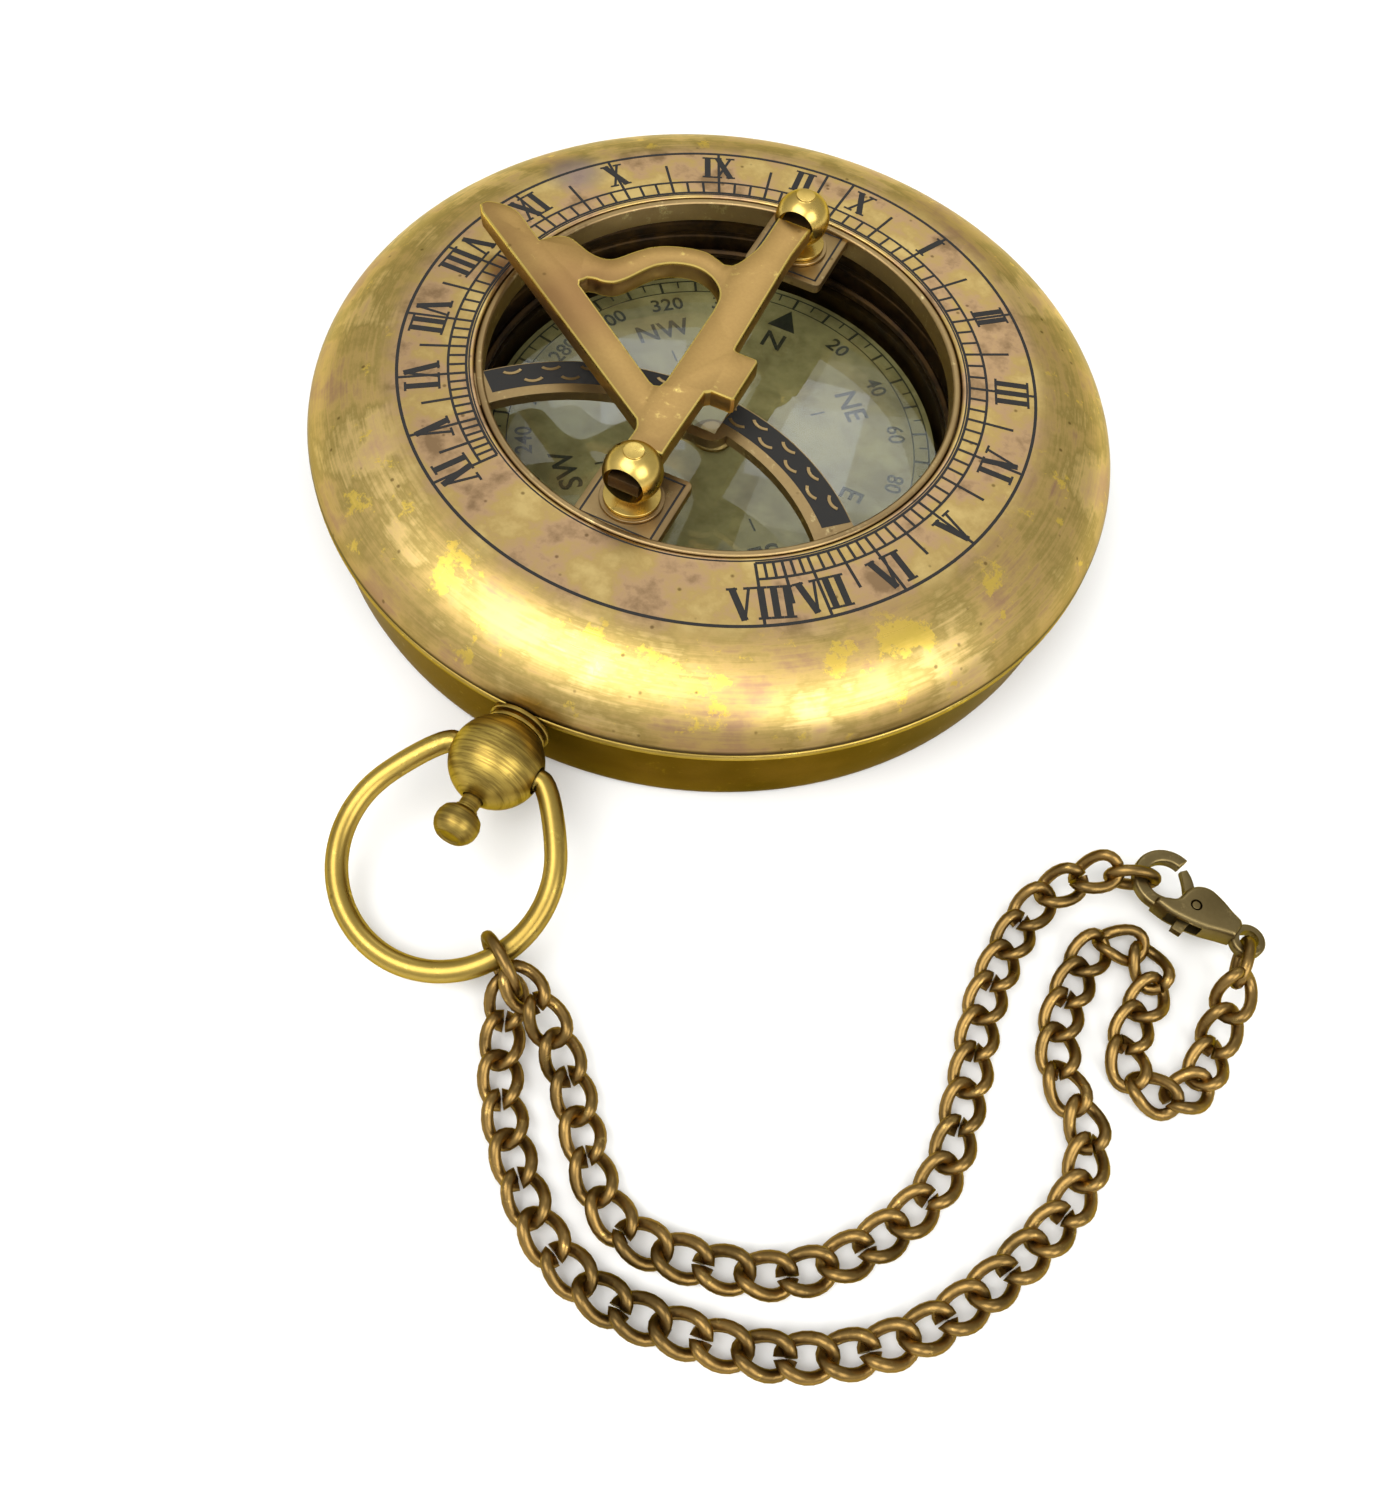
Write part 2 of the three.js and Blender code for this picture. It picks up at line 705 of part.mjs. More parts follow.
// Ball posts, each with its washer and nut
const washerLow = BRIDGE_TOP_Z + SEAT_GAP / 2;
const washerTop = washerLow + WASHER_T;
const footLow = washerTop + SEAT_GAP / 2;
const footTop = footLow + COLLAR_T;
const waistZ = BALL_Z - Math.sqrt(BALL_R ** 2 - WAIST_R ** 2);
const ballTopZ = BALL_Z + Math.sqrt(BALL_R ** 2 - PIP_R ** 2);
const ballPoints = Array.from({ length: BALL_STEPS + 1 }, (_, i) => {
  const low = Math.asin((waistZ - BALL_Z) / BALL_R);
  const high = Math.asin((ballTopZ - BALL_Z) / BALL_R);
  const a = low + ((high - low) * i) / BALL_STEPS;
  return [BALL_R * Math.cos(a), BALL_Z + BALL_R * Math.sin(a)];
});
const studLow = footLow - STUD_L;
const nutTop = bridgeLow - SEAT_GAP;
function post(side) {
  const body = turned([
    [0, studLow],
    [STUD_R, studLow],
    [STUD_R, footLow],
    [COLLAR_R, footLow],
    [COLLAR_R, footTop],
    [WAIST_R, (footTop + waistZ) / 2],
    ...ballPoints,
    [PIP_R, ballTopZ + PIP_H],
    [0, ballTopZ + PIP_H],
  ]);
  body.translate(0, side * POST_Y, 0);
  const reach = BALL_R + OVERRUN;
  const bore = bar("y", side * POST_Y - reach, side * POST_Y + reach, TENON_BORE_R, [0, 0, BALL_Z], BORE_STEPS);
  return solid(body).subtract(solid(bore));
}
for (const [place, side] of [["near", -1], ["far", 1]]) {
  addSolid("post_" + place, post(side), "bright");
  const washer = turned([
    [STUD_R + RUN_GAP, washerLow],
    [WASHER_R, washerLow],
    [WASHER_R, washerTop],
    [STUD_R + RUN_GAP, washerTop],
  ]);
  washer.translate(0, side * POST_Y, 0);
  add("washer_" + place, geometryOf(solid(washer)), "patina");
  const nut = turned(
    [
      [STUD_R + RUN_GAP, nutTop - NUT_H],
      [NUT_R, nutTop - NUT_H],
      [NUT_R, nutTop],
      [STUD_R + RUN_GAP, nutTop],
    ],
    NUT_SIDES,
  );
  nut.translate(0, side * POST_Y, 0);
  add("nut_" + place, geometryOf(solid(nut)), "brass");
}

// Gnomon: a flat plate folded down over the west side, turning on two flat tenons in the balls.
// Outline points are shares of the plate's reach across and of the posts' distance along.
const gnomonOutlineShares = [
  [-0.974, 0.139], [-1.0, 0.189], [-0.989, 0.225], [-0.959, 0.242], [-0.91, 0.252],
  [-0.869, 0.239], [-0.838, 0.214], [-0.787, 0.161], [-0.734, 0.108], [-0.705, 0.161],
  [-0.681, 0.188], [-0.646, 0.2], [-0.607, 0.181], [-0.558, 0.154], [-0.515, 0.147],
  [-0.481, 0.161], [-0.459, 0.194], [-0.429, 0.263], [-0.405, 0.311], [-0.381, 0.35],
  [-0.334, 0.399], [-0.269, 0.438], [-0.21, 0.453], [-0.166, 0.438], [-0.129, 0.418],
  [-0.104, 0.431], [-0.09, 0.467], [-0.078, 0.522], [-0.062, 0.639], [-0.062, SHOULDER_SHARE],
  [0.062, SHOULDER_SHARE], [0.056, 0.644], [0.071, -0.078], [0.073, -0.103], [0.086, -0.111],
  [LUG_SHARE - LUG_CORNER, -0.111], [LUG_SHARE, -0.128], [LUG_SHARE, -0.4],
  [LUG_SHARE - LUG_CORNER, -LUG_END_SHARE],
  [0.082, -LUG_END_SHARE], [0.067, -0.433], [0.062, -0.794], [0.062, -SHOULDER_SHARE],
  [-0.062, -SHOULDER_SHARE], [-0.062, -0.794],
  [-0.078, -0.744],
];
const gnomonWindowShares = [
  [-0.519, -0.056], [-0.504, -0.019], [-0.481, -0.008], [-0.455, -0.006], [-0.429, 0.006],
  [-0.41, 0.026], [-0.384, 0.081], [-0.357, 0.163], [-0.34, 0.208], [-0.322, 0.244],
  [-0.283, 0.29], [-0.231, 0.319], [-0.183, 0.32], [-0.136, 0.292], [-0.097, 0.241],
  [-0.076, 0.175], [-0.069, 0.082], [-0.068, -0.456], [-0.076, -0.497], [-0.093, -0.507],
  [-0.112, -0.494], [-0.511, -0.083],
];
const gnomonPoint = ([x, y]) => [x * GNOMON_REACH, y * POST_Y];
const gnomonPlate = plate(
  gnomonOutlineShares.map(gnomonPoint),
  BALL_Z - GNOMON_T / 2,
  BALL_Z + GNOMON_T / 2,
  [gnomonWindowShares.map(gnomonPoint)],
);
const shoulderY = SHOULDER_SHARE * POST_Y;
const tenonEnd = POST_Y + BALL_R - TENON_SHORT;
function tenon(side) {
  const [y0, y1] = side > 0 ? [shoulderY - OVERRUN, tenonEnd] : [-tenonEnd, -shoulderY + OVERRUN];
  return solid(
    block(-TENON_W / 2, TENON_W / 2, y0, y1, BALL_Z - TENON_T / 2, BALL_Z + TENON_T / 2),
  );
}
addSolid("gnomon", joined(solid(gnomonPlate), tenon(1), tenon(-1)), "brass");

// Hinge pin, catch pin, catch lever and its spring
addSolid(
  "hinge_pin",
  solid(bar("x", -knuckleOut, knuckleOut, HINGE_PIN_R, hingeAt, PIN_STEPS)),
  "steel",
);
addSolid("catch_pin", solid(bar("x", -earOut, earOut, CATCH_PIN_R, catchAt, PIN_STEPS)), "steel");
const leverLow = CATCH_PIVOT_Z - CATCH_T;
const leverOutline = [
  [catchFront, leverLow],
  [catchBack, leverLow],
  [catchBack, CATCH_TOP_Z],
  [catchFront, CATCH_TOP_Z],
  [-CATCH_NOSE_R, CATCH_TOP_Z - CATCH_NOSE_H / 2],
  [-CATCH_NOSE_R, CATCH_TOP_Z - CATCH_NOSE_H],
  [catchFront, CATCH_TOP_Z - CATCH_NOSE_H],
];
let lever = joined(
  solid(sidePlate(leverOutline, -CATCH_W / 2, CATCH_W / 2)),
  solid(bar("x", -CATCH_W / 2, CATCH_W / 2, CATCH_T * 0.9, catchAt)),
);
lever = lever.subtract(solid(bar("x", -CATCH_W, CATCH_W, catchBoreR, catchAt, PIN_STEPS)));
addSolid("catch_lever", lever, "brass");
const springFoot = catchBack + RUN_GAP / 2;
const springBack = springFoot + CATCH_T / 3;
const springLow = CATCH_PIVOT_Z + CATCH_T * 1.2;
const springTop = CATCH_TOP_Z - CATCH_T * 2;
const springBulge = springBack + CATCH_T / 2;
addSolid(
  "catch_spring",
  solid(
    sidePlate(
      [
        [springFoot, springLow],
        [springBack, springLow],
        [springBulge, springLow + CATCH_T],
        [springBack, springLow + CATCH_T * 2],
        [springBack, springTop],
        [springFoot, springTop],
      ],
      -CATCH_W / 4,
      CATCH_W / 4,
    ),
  ),
  "steel",
);

// Pendant neck and ball
const ballRear = PENDANT_Y + PENDANT_FLAT;
const neckIn = -CASE_R - SEAT_GAP;
const neckOut = ballRear + SEAT_GAP;
const neckMid = (neckIn + neckOut) / 2;
const stemBoreR = BUTTON_STEM_R + BUTTON_STEM_GAP;
const spigotEnd = neckOut - SPIGOT_L;
addSolid(
  "pendant_neck",
  solid(
    turnedAlongY(
      [
        [stemBoreR, -baseInR + RUN_GAP],
        [STUB_R, -baseInR + RUN_GAP],
        [STUB_R, neckIn],
        [NECK_RING_R, neckIn],
        [NECK_RING_R, neckIn - NECK_RING_T],
        [NECK_R, neckMid],
        [NECK_RING_R - SEAT_GAP, neckOut + NECK_RING_T],
        [NECK_RING_R - SEAT_GAP, neckOut],
        [STUB_R, neckOut],
        [STUB_R, spigotEnd],
        [stemBoreR, spigotEnd],
      ],
      PENDANT_Z,
    ),
  ),
  "brass",
);
const pendantSphere = new THREE.SphereGeometry(PENDANT_R, 24, 14);
pendantSphere.rotateX(Math.PI / 2);
pendantSphere.translate(0, PENDANT_Y, PENDANT_Z);
const pendantAt = [0, PENDANT_Y, PENDANT_Z];
const farOut = PENDANT_R + OVERRUN;
const pendantBall = cutBy(
  solid(pendantSphere),
  solid(block(-farOut, farOut, ballRear, PENDANT_Y + farOut, PENDANT_Z - farOut, PENDANT_Z + farOut)),
  solid(bar("y", PENDANT_Y - farOut, PENDANT_Y + farOut, stemBoreR, [0, 0, PENDANT_Z])),
  solid(bar("y", spigotEnd - RUN_GAP, neckOut + farOut, STUB_R + RUN_GAP / 2, [0, 0, PENDANT_Z])),
  solid(bar("x", BAIL_PIN_IN - RUN_GAP, farOut, BAIL_WIRE_R + RUN_GAP, pendantAt)),
  solid(bar("x", -farOut, -BAIL_PIN_IN + RUN_GAP, BAIL_WIRE_R + RUN_GAP, pendantAt)),
);
addSolid("pendant_ball", pendantBall, "patina");

// Push button: its stem runs through the ball, the neck and the base's wall to the catch
const buttonIn = PENDANT_Y - PENDANT_R - BUTTON_TRAVEL - RUN_GAP;
const buttonOut = buttonIn - BUTTON_L;
const stemTip = catchFront - RUN_GAP;
const knobEdge = BUTTON_R / 5;
addSolid(
  "push_button",
  solid(
    turnedAlongY(
      [
        [0, stemTip],
        [BUTTON_STEM_R, stemTip],
        [BUTTON_STEM_R, buttonIn + BUTTON_TRAVEL],
        [BUTTON_NECK_R, buttonIn + BUTTON_TRAVEL],
        [BUTTON_NECK_R, buttonIn],
        [BUTTON_R - knobEdge, buttonIn],
        [BUTTON_R, buttonIn - knobEdge * 2],
        [BUTTON_R, buttonOut + knobEdge],
        [BUTTON_R - knobEdge, buttonOut],
        [0, buttonOut],
      ],
      PENDANT_Z,
    ),
  ),
  "bright",
);

// Bail: a ring of wire whose two straight ends turn in the ball. It lies drooped on the chain's ring.
const droop = rad(BAIL_DROOP_DEG);
const outward = new THREE.Vector3(0, -Math.cos(droop), -Math.sin(droop));
const pivot = new THREE.Vector3(0, PENDANT_Y, PENDANT_Z);
const bailPoint = (x, along) => new THREE.Vector3(x, 0, 0).addScaledVector(outward, along).add(pivot);
const bailPath = [];
for (const side of [1, -1]) {
  const half = [
    bailPoint(side * BAIL_PIN_IN, 0),
    bailPoint((side * (BAIL_PIN_IN + PENDANT_R)) / 2, 0),
    bailPoint(side * (PENDANT_R + BAIL_WIRE_R / 3), 0),
  ];
  for (let deg = BAIL_JOIN_DEG; deg < 180; deg += BAIL_STEP_DEG) {
    half.push(bailPoint(side * BAIL_R * Math.sin(rad(deg)), BAIL_R * (1 - Math.cos(rad(deg)))));
  }
  if (side > 0) bailPath.push(...half, bailPoint(0, BAIL_R * 2));
  else bailPath.push(...half.reverse());
}
const wireSection = new THREE.Shape(
  Array.from({ length: BAIL_SIDES }, (_, i) => {
    const a = (2 * Math.PI * i) / BAIL_SIDES;
    return new THREE.Vector2(BAIL_WIRE_R * Math.cos(a), BAIL_WIRE_R * Math.sin(a));
  }),
);
const bailTube = new THREE.ExtrudeGeometry(wireSection, {
  steps: BAIL_STEPS,
  bevelEnabled: false,
  extrudePath: new THREE.CatmullRomCurve3(bailPath, false, "centripetal"),
});
addSolid("bail", solid(bailTube), "bright");

// One curb link: an oval of round wire, twisted so that its ends slope against its neighbours'
function linkGeometry(length, width, twist, wire) {
  const across = wire / 2;
  const geometry = new THREE.TorusGeometry(width, across, LINK_SIDES, LINK_STEPS);
  const at = geometry.attributes.position;
  for (let i = 0; i < at.count; i++) {
    const angle = Math.atan2(at.getY(i), at.getX(i));
    const out = Math.hypot(at.getX(i), at.getY(i)) - width;
    at.setXYZ(
      i,
      (length / 2 - across + out) * Math.cos(angle),
      (width / 2 - across + out) * Math.sin(angle),
      at.getZ(i) + twist * Math.sin(2 * angle),
    );
  }
  return geometry;
}

// A geometry moved so that its X runs along a direction and its Z lies nearest the given up
function placed(geometry, centre, along, up) {
  const x = along.clone().normalize();
  const y = new THREE.Vector3().crossVectors(up, x).normalize();
  const z = new THREE.Vector3().crossVectors(x, y);
  const moved = geometry.clone();
  moved.applyMatrix4(new THREE.Matrix4().makeBasis(x, y, z).setPosition(centre));
  return moved;
}

// Where the chain lies, as points of its middle line, their Y taken from the pendant's ball
const floorZ = LINK_WIRE / 2 + LINK_TWIST + CHAIN_LIFT;
const fromBall = (x, y, z) => new THREE.Vector3(x, PENDANT_Y + y, z);
const onFloor = (list) => list.map(([x, y]) => fromBall(x, y, floorZ));
const ringCentre = fromBall(8.1, -14, 3.4);
const ringOut = new THREE.Vector3(0.833, -0.554, 0);
const strandARoute = [
  fromBall(9.6, -16, 1.95),
  fromBall(10.5, -18.2, 1.4),
  ...onFloor([
    [11.8, -21], [14.2, -24.4], [17, -27.4], [20.8, -30.4], [26, -32.2], [33.3, -31.8], [40.6, -29.9],
    [47.4, -25.4], [52.6, -17.9], [55.8, -9.4], [54.9, -4.4], [51.8, -1.4], [50.4, 2.6],
    [50.4, 7], [51.1, 10.4], [54, 12], [56.4, 9.8], [55.9, 5.8], [56.4, 2],
    [59.4, 0.6], [61.9, 2.6], [62.3, 5.8],
  ]),
  fromBall(62.3, 7.8, 2.1),
];
const strandBRoute = [
  fromBall(10.65, -15.05, 4.2),
  fromBall(13.2, -16.2, 3.3),
  fromBall(15.6, -18, 2),
  ...onFloor([
    [18, -20.4], [20.6, -23.4], [23, -25.8], [26, -27.4], [31.9, -27], [38.2, -24.8], [43, -19.9],
    [45.8, -13.7], [45.4, -6.2], [44.2, 1.6], [44.4, 7.8], [44.9, 11],
  ]),
  fromBall(46.2, 13.6, 2.2),
];
const leadLinks = 6;
const pileLinksFrom = 28;

// Clasp place: from the eye at the tail towards the hook
const claspTail = fromBall(61.9, 15.6, CLASP_Z);
const claspAlong = new THREE.Vector3(-0.986, 0.166, 0).normalize();
const claspAcross = new THREE.Vector3(0.166, 0.986, 0).normalize();
const claspFrame = new THREE.Matrix4()
  .makeBasis(claspAlong, claspAcross, new THREE.Vector3(0, 0, 1))
  .setPosition(claspTail);
const onClasp = (u, v) => new THREE.Vector3(u, v, 0).applyMatrix4(claspFrame);
const up = new THREE.Vector3(0, 0, 1);

// The chain's end links stand on edge, one through the eye and one round the hook
const eyeDown = new THREE.Vector3(0.06, -1, 0).normalize();
const hookOut = new THREE.Vector3(-0.94, -0.34, 0).normalize();
const endReach = LINK_L / 2 - LINK_WIRE / 2;
const eyeLinkCentre = onClasp(0, 0).addScaledVector(eyeDown, endReach);
const hookMiddle = onClasp(CLASP_HOOK_U, CLASP_HOOK_V);
const hookSeat = CLASP_HOOK_IN_R - LINK_WIRE / 2 - RUN_GAP;
const hookLinkCentre = hookMiddle.clone().addScaledVector(hookOut, hookSeat + endReach);
const pitch = LINK_L - 2 * LINK_WIRE + LINK_BEAR;
const strandA = new THREE.CatmullRomCurve3([
  ...strandARoute,
  eyeLinkCentre.clone().addScaledVector(eyeDown, pitch),
]);
const strandB = new THREE.CatmullRomCurve3([
  ...strandBRoute,
  hookLinkCentre.clone().addScaledVector(hookOut, pitch),
]);

// Links along a line, evenly spaced at about the chain's pitch
function linksAlong(curve, endDirection, endCentre) {
  const count = Math.round(curve.getLength() / pitch);
  const links = [];
  for (let i = 0; i <= count; i++) {
    const along = curve.getTangentAt(i / count);
    const centre = curve.getPointAt(i / count);
    centre.z = Math.max(centre.z, floorZ + Math.abs(along.z) * endReach);
    links.push([centre, along, up]);
  }
  const side = new THREE.Vector3().crossVectors(up, endDirection).normalize();
  links.push([endCentre, endDirection.clone().negate(), side]);
  return links;
}
const linksA = linksAlong(strandA, eyeDown, eyeLinkCentre);
const linksB = linksAlong(strandB, hookOut, hookLinkCentre);
const linkShape = linkGeometry(LINK_L, LINK_W, LINK_TWIST, LINK_WIRE);
const endLinkShape = linkGeometry(LINK_L, LINK_W, 0, LINK_WIRE);
const boundaryShift = (LINK_BEAR + RUN_GAP + SEAT_GAP) / 2;

// A stretch of links joined where they bear; its first or last link stands off its neighbour
function stretch(links, from, to, openStart, openEnd) {
  const made = [];
  for (let i = from; i < to; i++) {
    const [centre, along, upward] = links[i];
    const place = centre.clone();
    if (i === from && openStart) place.addScaledVector(along, -boundaryShift);
    if (i === to - 1 && openEnd) place.addScaledVector(along, boundaryShift);
    const shape = i === links.length - 1 ? endLinkShape : linkShape;
    made.push(solid(placed(shape, place, along, upward)));
  }
  return joined(...made);
}
const jumpRing = new THREE.TorusGeometry(JUMP_R, LINK_WIRE / 2, LINK_SIDES + 1, LINK_STEPS * 2);
const jumpSolid = solid(
  placed(jumpRing, ringCentre, ringOut, new THREE.Vector3().crossVectors(ringOut, up)),
);
const leadA = stretch(linksA, 0, leadLinks, false, true);
const leadB = stretch(linksB, 0, leadLinks, false, true);
addSolid("chain_lead", joined(jumpSolid, leadA, leadB), "bronze");
addSolid("chain_strand_a", stretch(linksA, leadLinks, pileLinksFrom, true, true), "bronze");
addSolid("chain_pile", stretch(linksA, pileLinksFrom, linksA.length, true, false), "bronze");
addSolid("chain_strand_b", stretch(linksB, leadLinks, linksB.length, true, false), "bronze");

// Lobster clasp, lying on the chain. Outline points are shares of its length.
const claspBodyShares = [
  [0.1, 0.068], [0.2, 0.114], [0.309, 0.159], [0.418, 0.182], [0.509, 0.145], [0.564, 0.064],
  [0.591, -0.036], [0.664, -0.082], [0.718, -0.118], [0.718, -0.168], [0.6, -0.182],
  [0.473, -0.173], [0.327, -0.145], [0.2, -0.1], [0.1, -0.068],
];
const claspLeverShares = [
  [0.414, -0.082], [0.441, -0.264], [0.523, -0.264], [0.523, -0.091], [0.536, 0.009],
  [0.6, 0.127], [0.668, 0.214], [0.632, 0.259], [0.564, 0.209], [0.473, 0.1], [0.405, 0.018],
];
const claspPoint = ([u, v]) => [u * CLASP_L, v * CLASP_L];
const thick = (t) => [-t / 2, t / 2];
const hookOutline = [
  ...arc(CLASP_HOOK_U, CLASP_HOOK_V, CLASP_HOOK_R, -112, 105, 16),
  ...arc(CLASP_HOOK_U, CLASP_HOOK_V, CLASP_HOOK_IN_R, 105, -112, 14),
];
const claspBody = solid(plate(claspBodyShares.map(claspPoint), ...thick(CLASP_T)));
const claspHook = solid(plate(hookOutline, ...thick(CLASP_HOOK_T)));
const claspEye = solid(bar("z", ...thick(CLASP_HOOK_T), CLASP_EYE_R));
const eyeBore = solid(bar("z", -CLASP_T, CLASP_T, CLASP_EYE_BORE_R));
const leverSlot = solid(
  block(
    CLASP_L * 0.33,
    CLASP_HOOK_U - CLASP_HOOK_R * 0.6,
    -CLASP_HOOK_R,
    CLASP_HOOK_R,
    ...thick(CLASP_SLOT),
  ),
);
const pinAt = [CLASP_PIVOT_U, CLASP_PIVOT_V, 0];
const pinBore = solid(bar("z", -CLASP_T, CLASP_T, CLASP_PIN_R + RUN_GAP / 2, pinAt, PIN_STEPS));
const inFrame = (made) => {
  const geometry = geometryOf(made);
  geometry.applyMatrix4(claspFrame);
  return geometryOf(solid(geometry));
};
const claspWhole = cutBy(joined(claspBody, claspHook, claspEye), eyeBore, leverSlot, pinBore);
add("clasp_body", inFrame(claspWhole), "bronze");
const claspLever = solid(plate(claspLeverShares.map(claspPoint), ...thick(CLASP_LEVER_T)));
add("clasp_lever", inFrame(claspLever.subtract(pinBore)), "bronze");
add("clasp_pin", inFrame(solid(bar("z", ...thick(CLASP_T), CLASP_PIN_R, pinAt, PIN_STEPS))), "steel");

export default object;
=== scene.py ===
"""Sundial compass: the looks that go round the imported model.

Metres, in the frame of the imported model. Shapes are written in millimetres and scaled once, in made().
"""

import bpy
import bmesh
import math
import random
from mathutils import Matrix, Vector


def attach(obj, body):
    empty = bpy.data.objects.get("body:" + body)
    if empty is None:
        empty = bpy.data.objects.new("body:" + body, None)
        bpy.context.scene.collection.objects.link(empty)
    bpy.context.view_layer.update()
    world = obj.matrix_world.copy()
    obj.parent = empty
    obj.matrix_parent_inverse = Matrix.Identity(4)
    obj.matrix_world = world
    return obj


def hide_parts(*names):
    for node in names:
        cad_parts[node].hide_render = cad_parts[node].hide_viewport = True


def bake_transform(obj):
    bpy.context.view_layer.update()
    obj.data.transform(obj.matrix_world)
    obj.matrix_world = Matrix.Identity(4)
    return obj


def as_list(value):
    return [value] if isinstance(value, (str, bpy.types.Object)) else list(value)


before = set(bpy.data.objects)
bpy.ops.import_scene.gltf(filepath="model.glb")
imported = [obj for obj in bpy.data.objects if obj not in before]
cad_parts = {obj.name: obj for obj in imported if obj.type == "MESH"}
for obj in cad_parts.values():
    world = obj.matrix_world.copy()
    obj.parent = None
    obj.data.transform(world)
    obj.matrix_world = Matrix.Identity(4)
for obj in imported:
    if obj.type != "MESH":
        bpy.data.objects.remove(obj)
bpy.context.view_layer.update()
MM = 0.001
# Corners closer than this in mm are one
TINY = 1e-4
chance = random.Random(7)


def placed(name, data):
    """A new object in the scene."""
    new = bpy.data.objects.new(name, data)
    bpy.context.scene.collection.objects.link(new)
    return new


def as_mesh(bm, name):
    mesh = bpy.data.meshes.new(name)
    bm.to_mesh(mesh)
    bm.free()
    return mesh


def shape_of(thing):
    """An object's shape with its modifiers, as a bmesh."""
    mesh = bpy.data.meshes.new_from_object(thing.evaluated_get(bpy.context.evaluated_depsgraph_get()))
    bm = bmesh.new()
    bm.from_mesh(mesh)
    bpy.data.meshes.remove(mesh)
    return bm


def surface_of(curve):
    """The surface of a curve or of lettering as a bmesh."""
    bm = shape_of(placed("curve", curve))
    bpy.data.curves.remove(curve)
    return bm


def moved(bm, matrix):
    bmesh.ops.transform(bm, matrix=matrix, verts=bm.verts)
    return bm


def axes_at(place, x, y, z):
    """The matrix of a frame with its origin at a place."""
    out = Matrix((x, y, z)).transposed().to_4x4()
    out.translation = place
    return out


# Camera: the photograph's viewing angle, lens and roll


def set_camera():
    turn, elevation, roll = (math.radians(a) for a in (18.5, 59.966, 7.98))
    spin = Matrix.Rotation(turn, 3, "Z")
    back = spin @ Vector((0, -math.cos(elevation), math.sin(elevation)))
    level = spin @ Vector((1, 0, 0))
    upward = back.cross(level)
    right = level * math.cos(roll) + upward * math.sin(roll)
    top = upward * math.cos(roll) - level * math.sin(roll)
    data = bpy.data.cameras.new("camera")
    data.sensor_width = 36
    data.lens = 33.67
    data.clip_start = 0.005
    camera = placed("camera", data)
    camera.matrix_world = axes_at(Vector((32.9, -89.2, 109.3)) * MM, right, top, back)
    bpy.context.scene.camera = camera


set_camera()

# Materials


def linear(code):
    """A hex sRGB colour as linear RGBA."""
    parts = [int(code[i : i + 2], 16) / 255 for i in (1, 3, 5)]
    return [p / 12.92 if p <= 0.04045 else ((p + 0.055) / 1.055) ** 2.4 for p in parts] + [1]


def plug(tree, target, sockets):
    """Sets a node's sockets. A node stands for its first output in use, and a hex code for its colour."""
    for socket, value in sockets.items():
        if isinstance(value, bpy.types.Node):
            value = next(out for out in value.outputs if out.enabled)
        if isinstance(value, bpy.types.NodeSocket):
            tree.links.new(value, target.inputs[socket])
        else:
            target.inputs[socket].default_value = linear(value) if isinstance(value, str) else value


def node(tree, kind, sockets=None, stops=None, **settings):
    """Adds a node with its settings and links. stops are the colours of a ramp, or shares from 0 to 1."""
    new = tree.nodes.new("ShaderNode" + kind)
    for name, value in settings.items():
        setattr(new, name, value)
    plug(tree, new, sockets or {})
    for i, (place, colour) in enumerate(stops or []):
        ramp = new.color_ramp.elements
        stop = ramp[i] if i < 2 else ramp.new(place)
        stop.position = place
        stop.color = linear(colour) if isinstance(colour, str) else [colour] * 3 + [1]
    return new


def material(name):
    """An empty material with its shader and object coordinates."""
    new = bpy.data.materials.new(name)
    new.use_nodes = True
    tree = new.node_tree
    tree.nodes.clear()
    shader = node(tree, "BsdfPrincipled")
    node(tree, "OutputMaterial", {"Surface": shader})
    where = node(tree, "TexCoord").outputs["Object"]
    return new, tree, shader, where


def pitted(tree, where, apart, share, below):
    """Small brown pits over a colour, about this far apart in mm."""
    spots = node(tree, "TexVoronoi", {"Vector": where, "Scale": 1 / (apart * MM), "Randomness": 1.0})
    pits = node(tree, "ValToRGB", {0: spots}, stops=[(0.05, share), (0.1, 0.0)])
    return node(tree, "Mix", {0: pits, 6: below, 7: "#4a3519"}, data_type="RGBA")


def dented(tree, where, size, strength, under):
    """A bump of shallow dents of this size in mm, on top of another bump."""
    dents = node(tree, "TexNoise", {"Vector": where, "Scale": 1 / (size * MM), "Detail": 2})
    sockets = {"Height": dents, "Strength": strength, "Distance": 0.3 * MM, "Normal": under}
    return node(tree, "Bump", sockets)


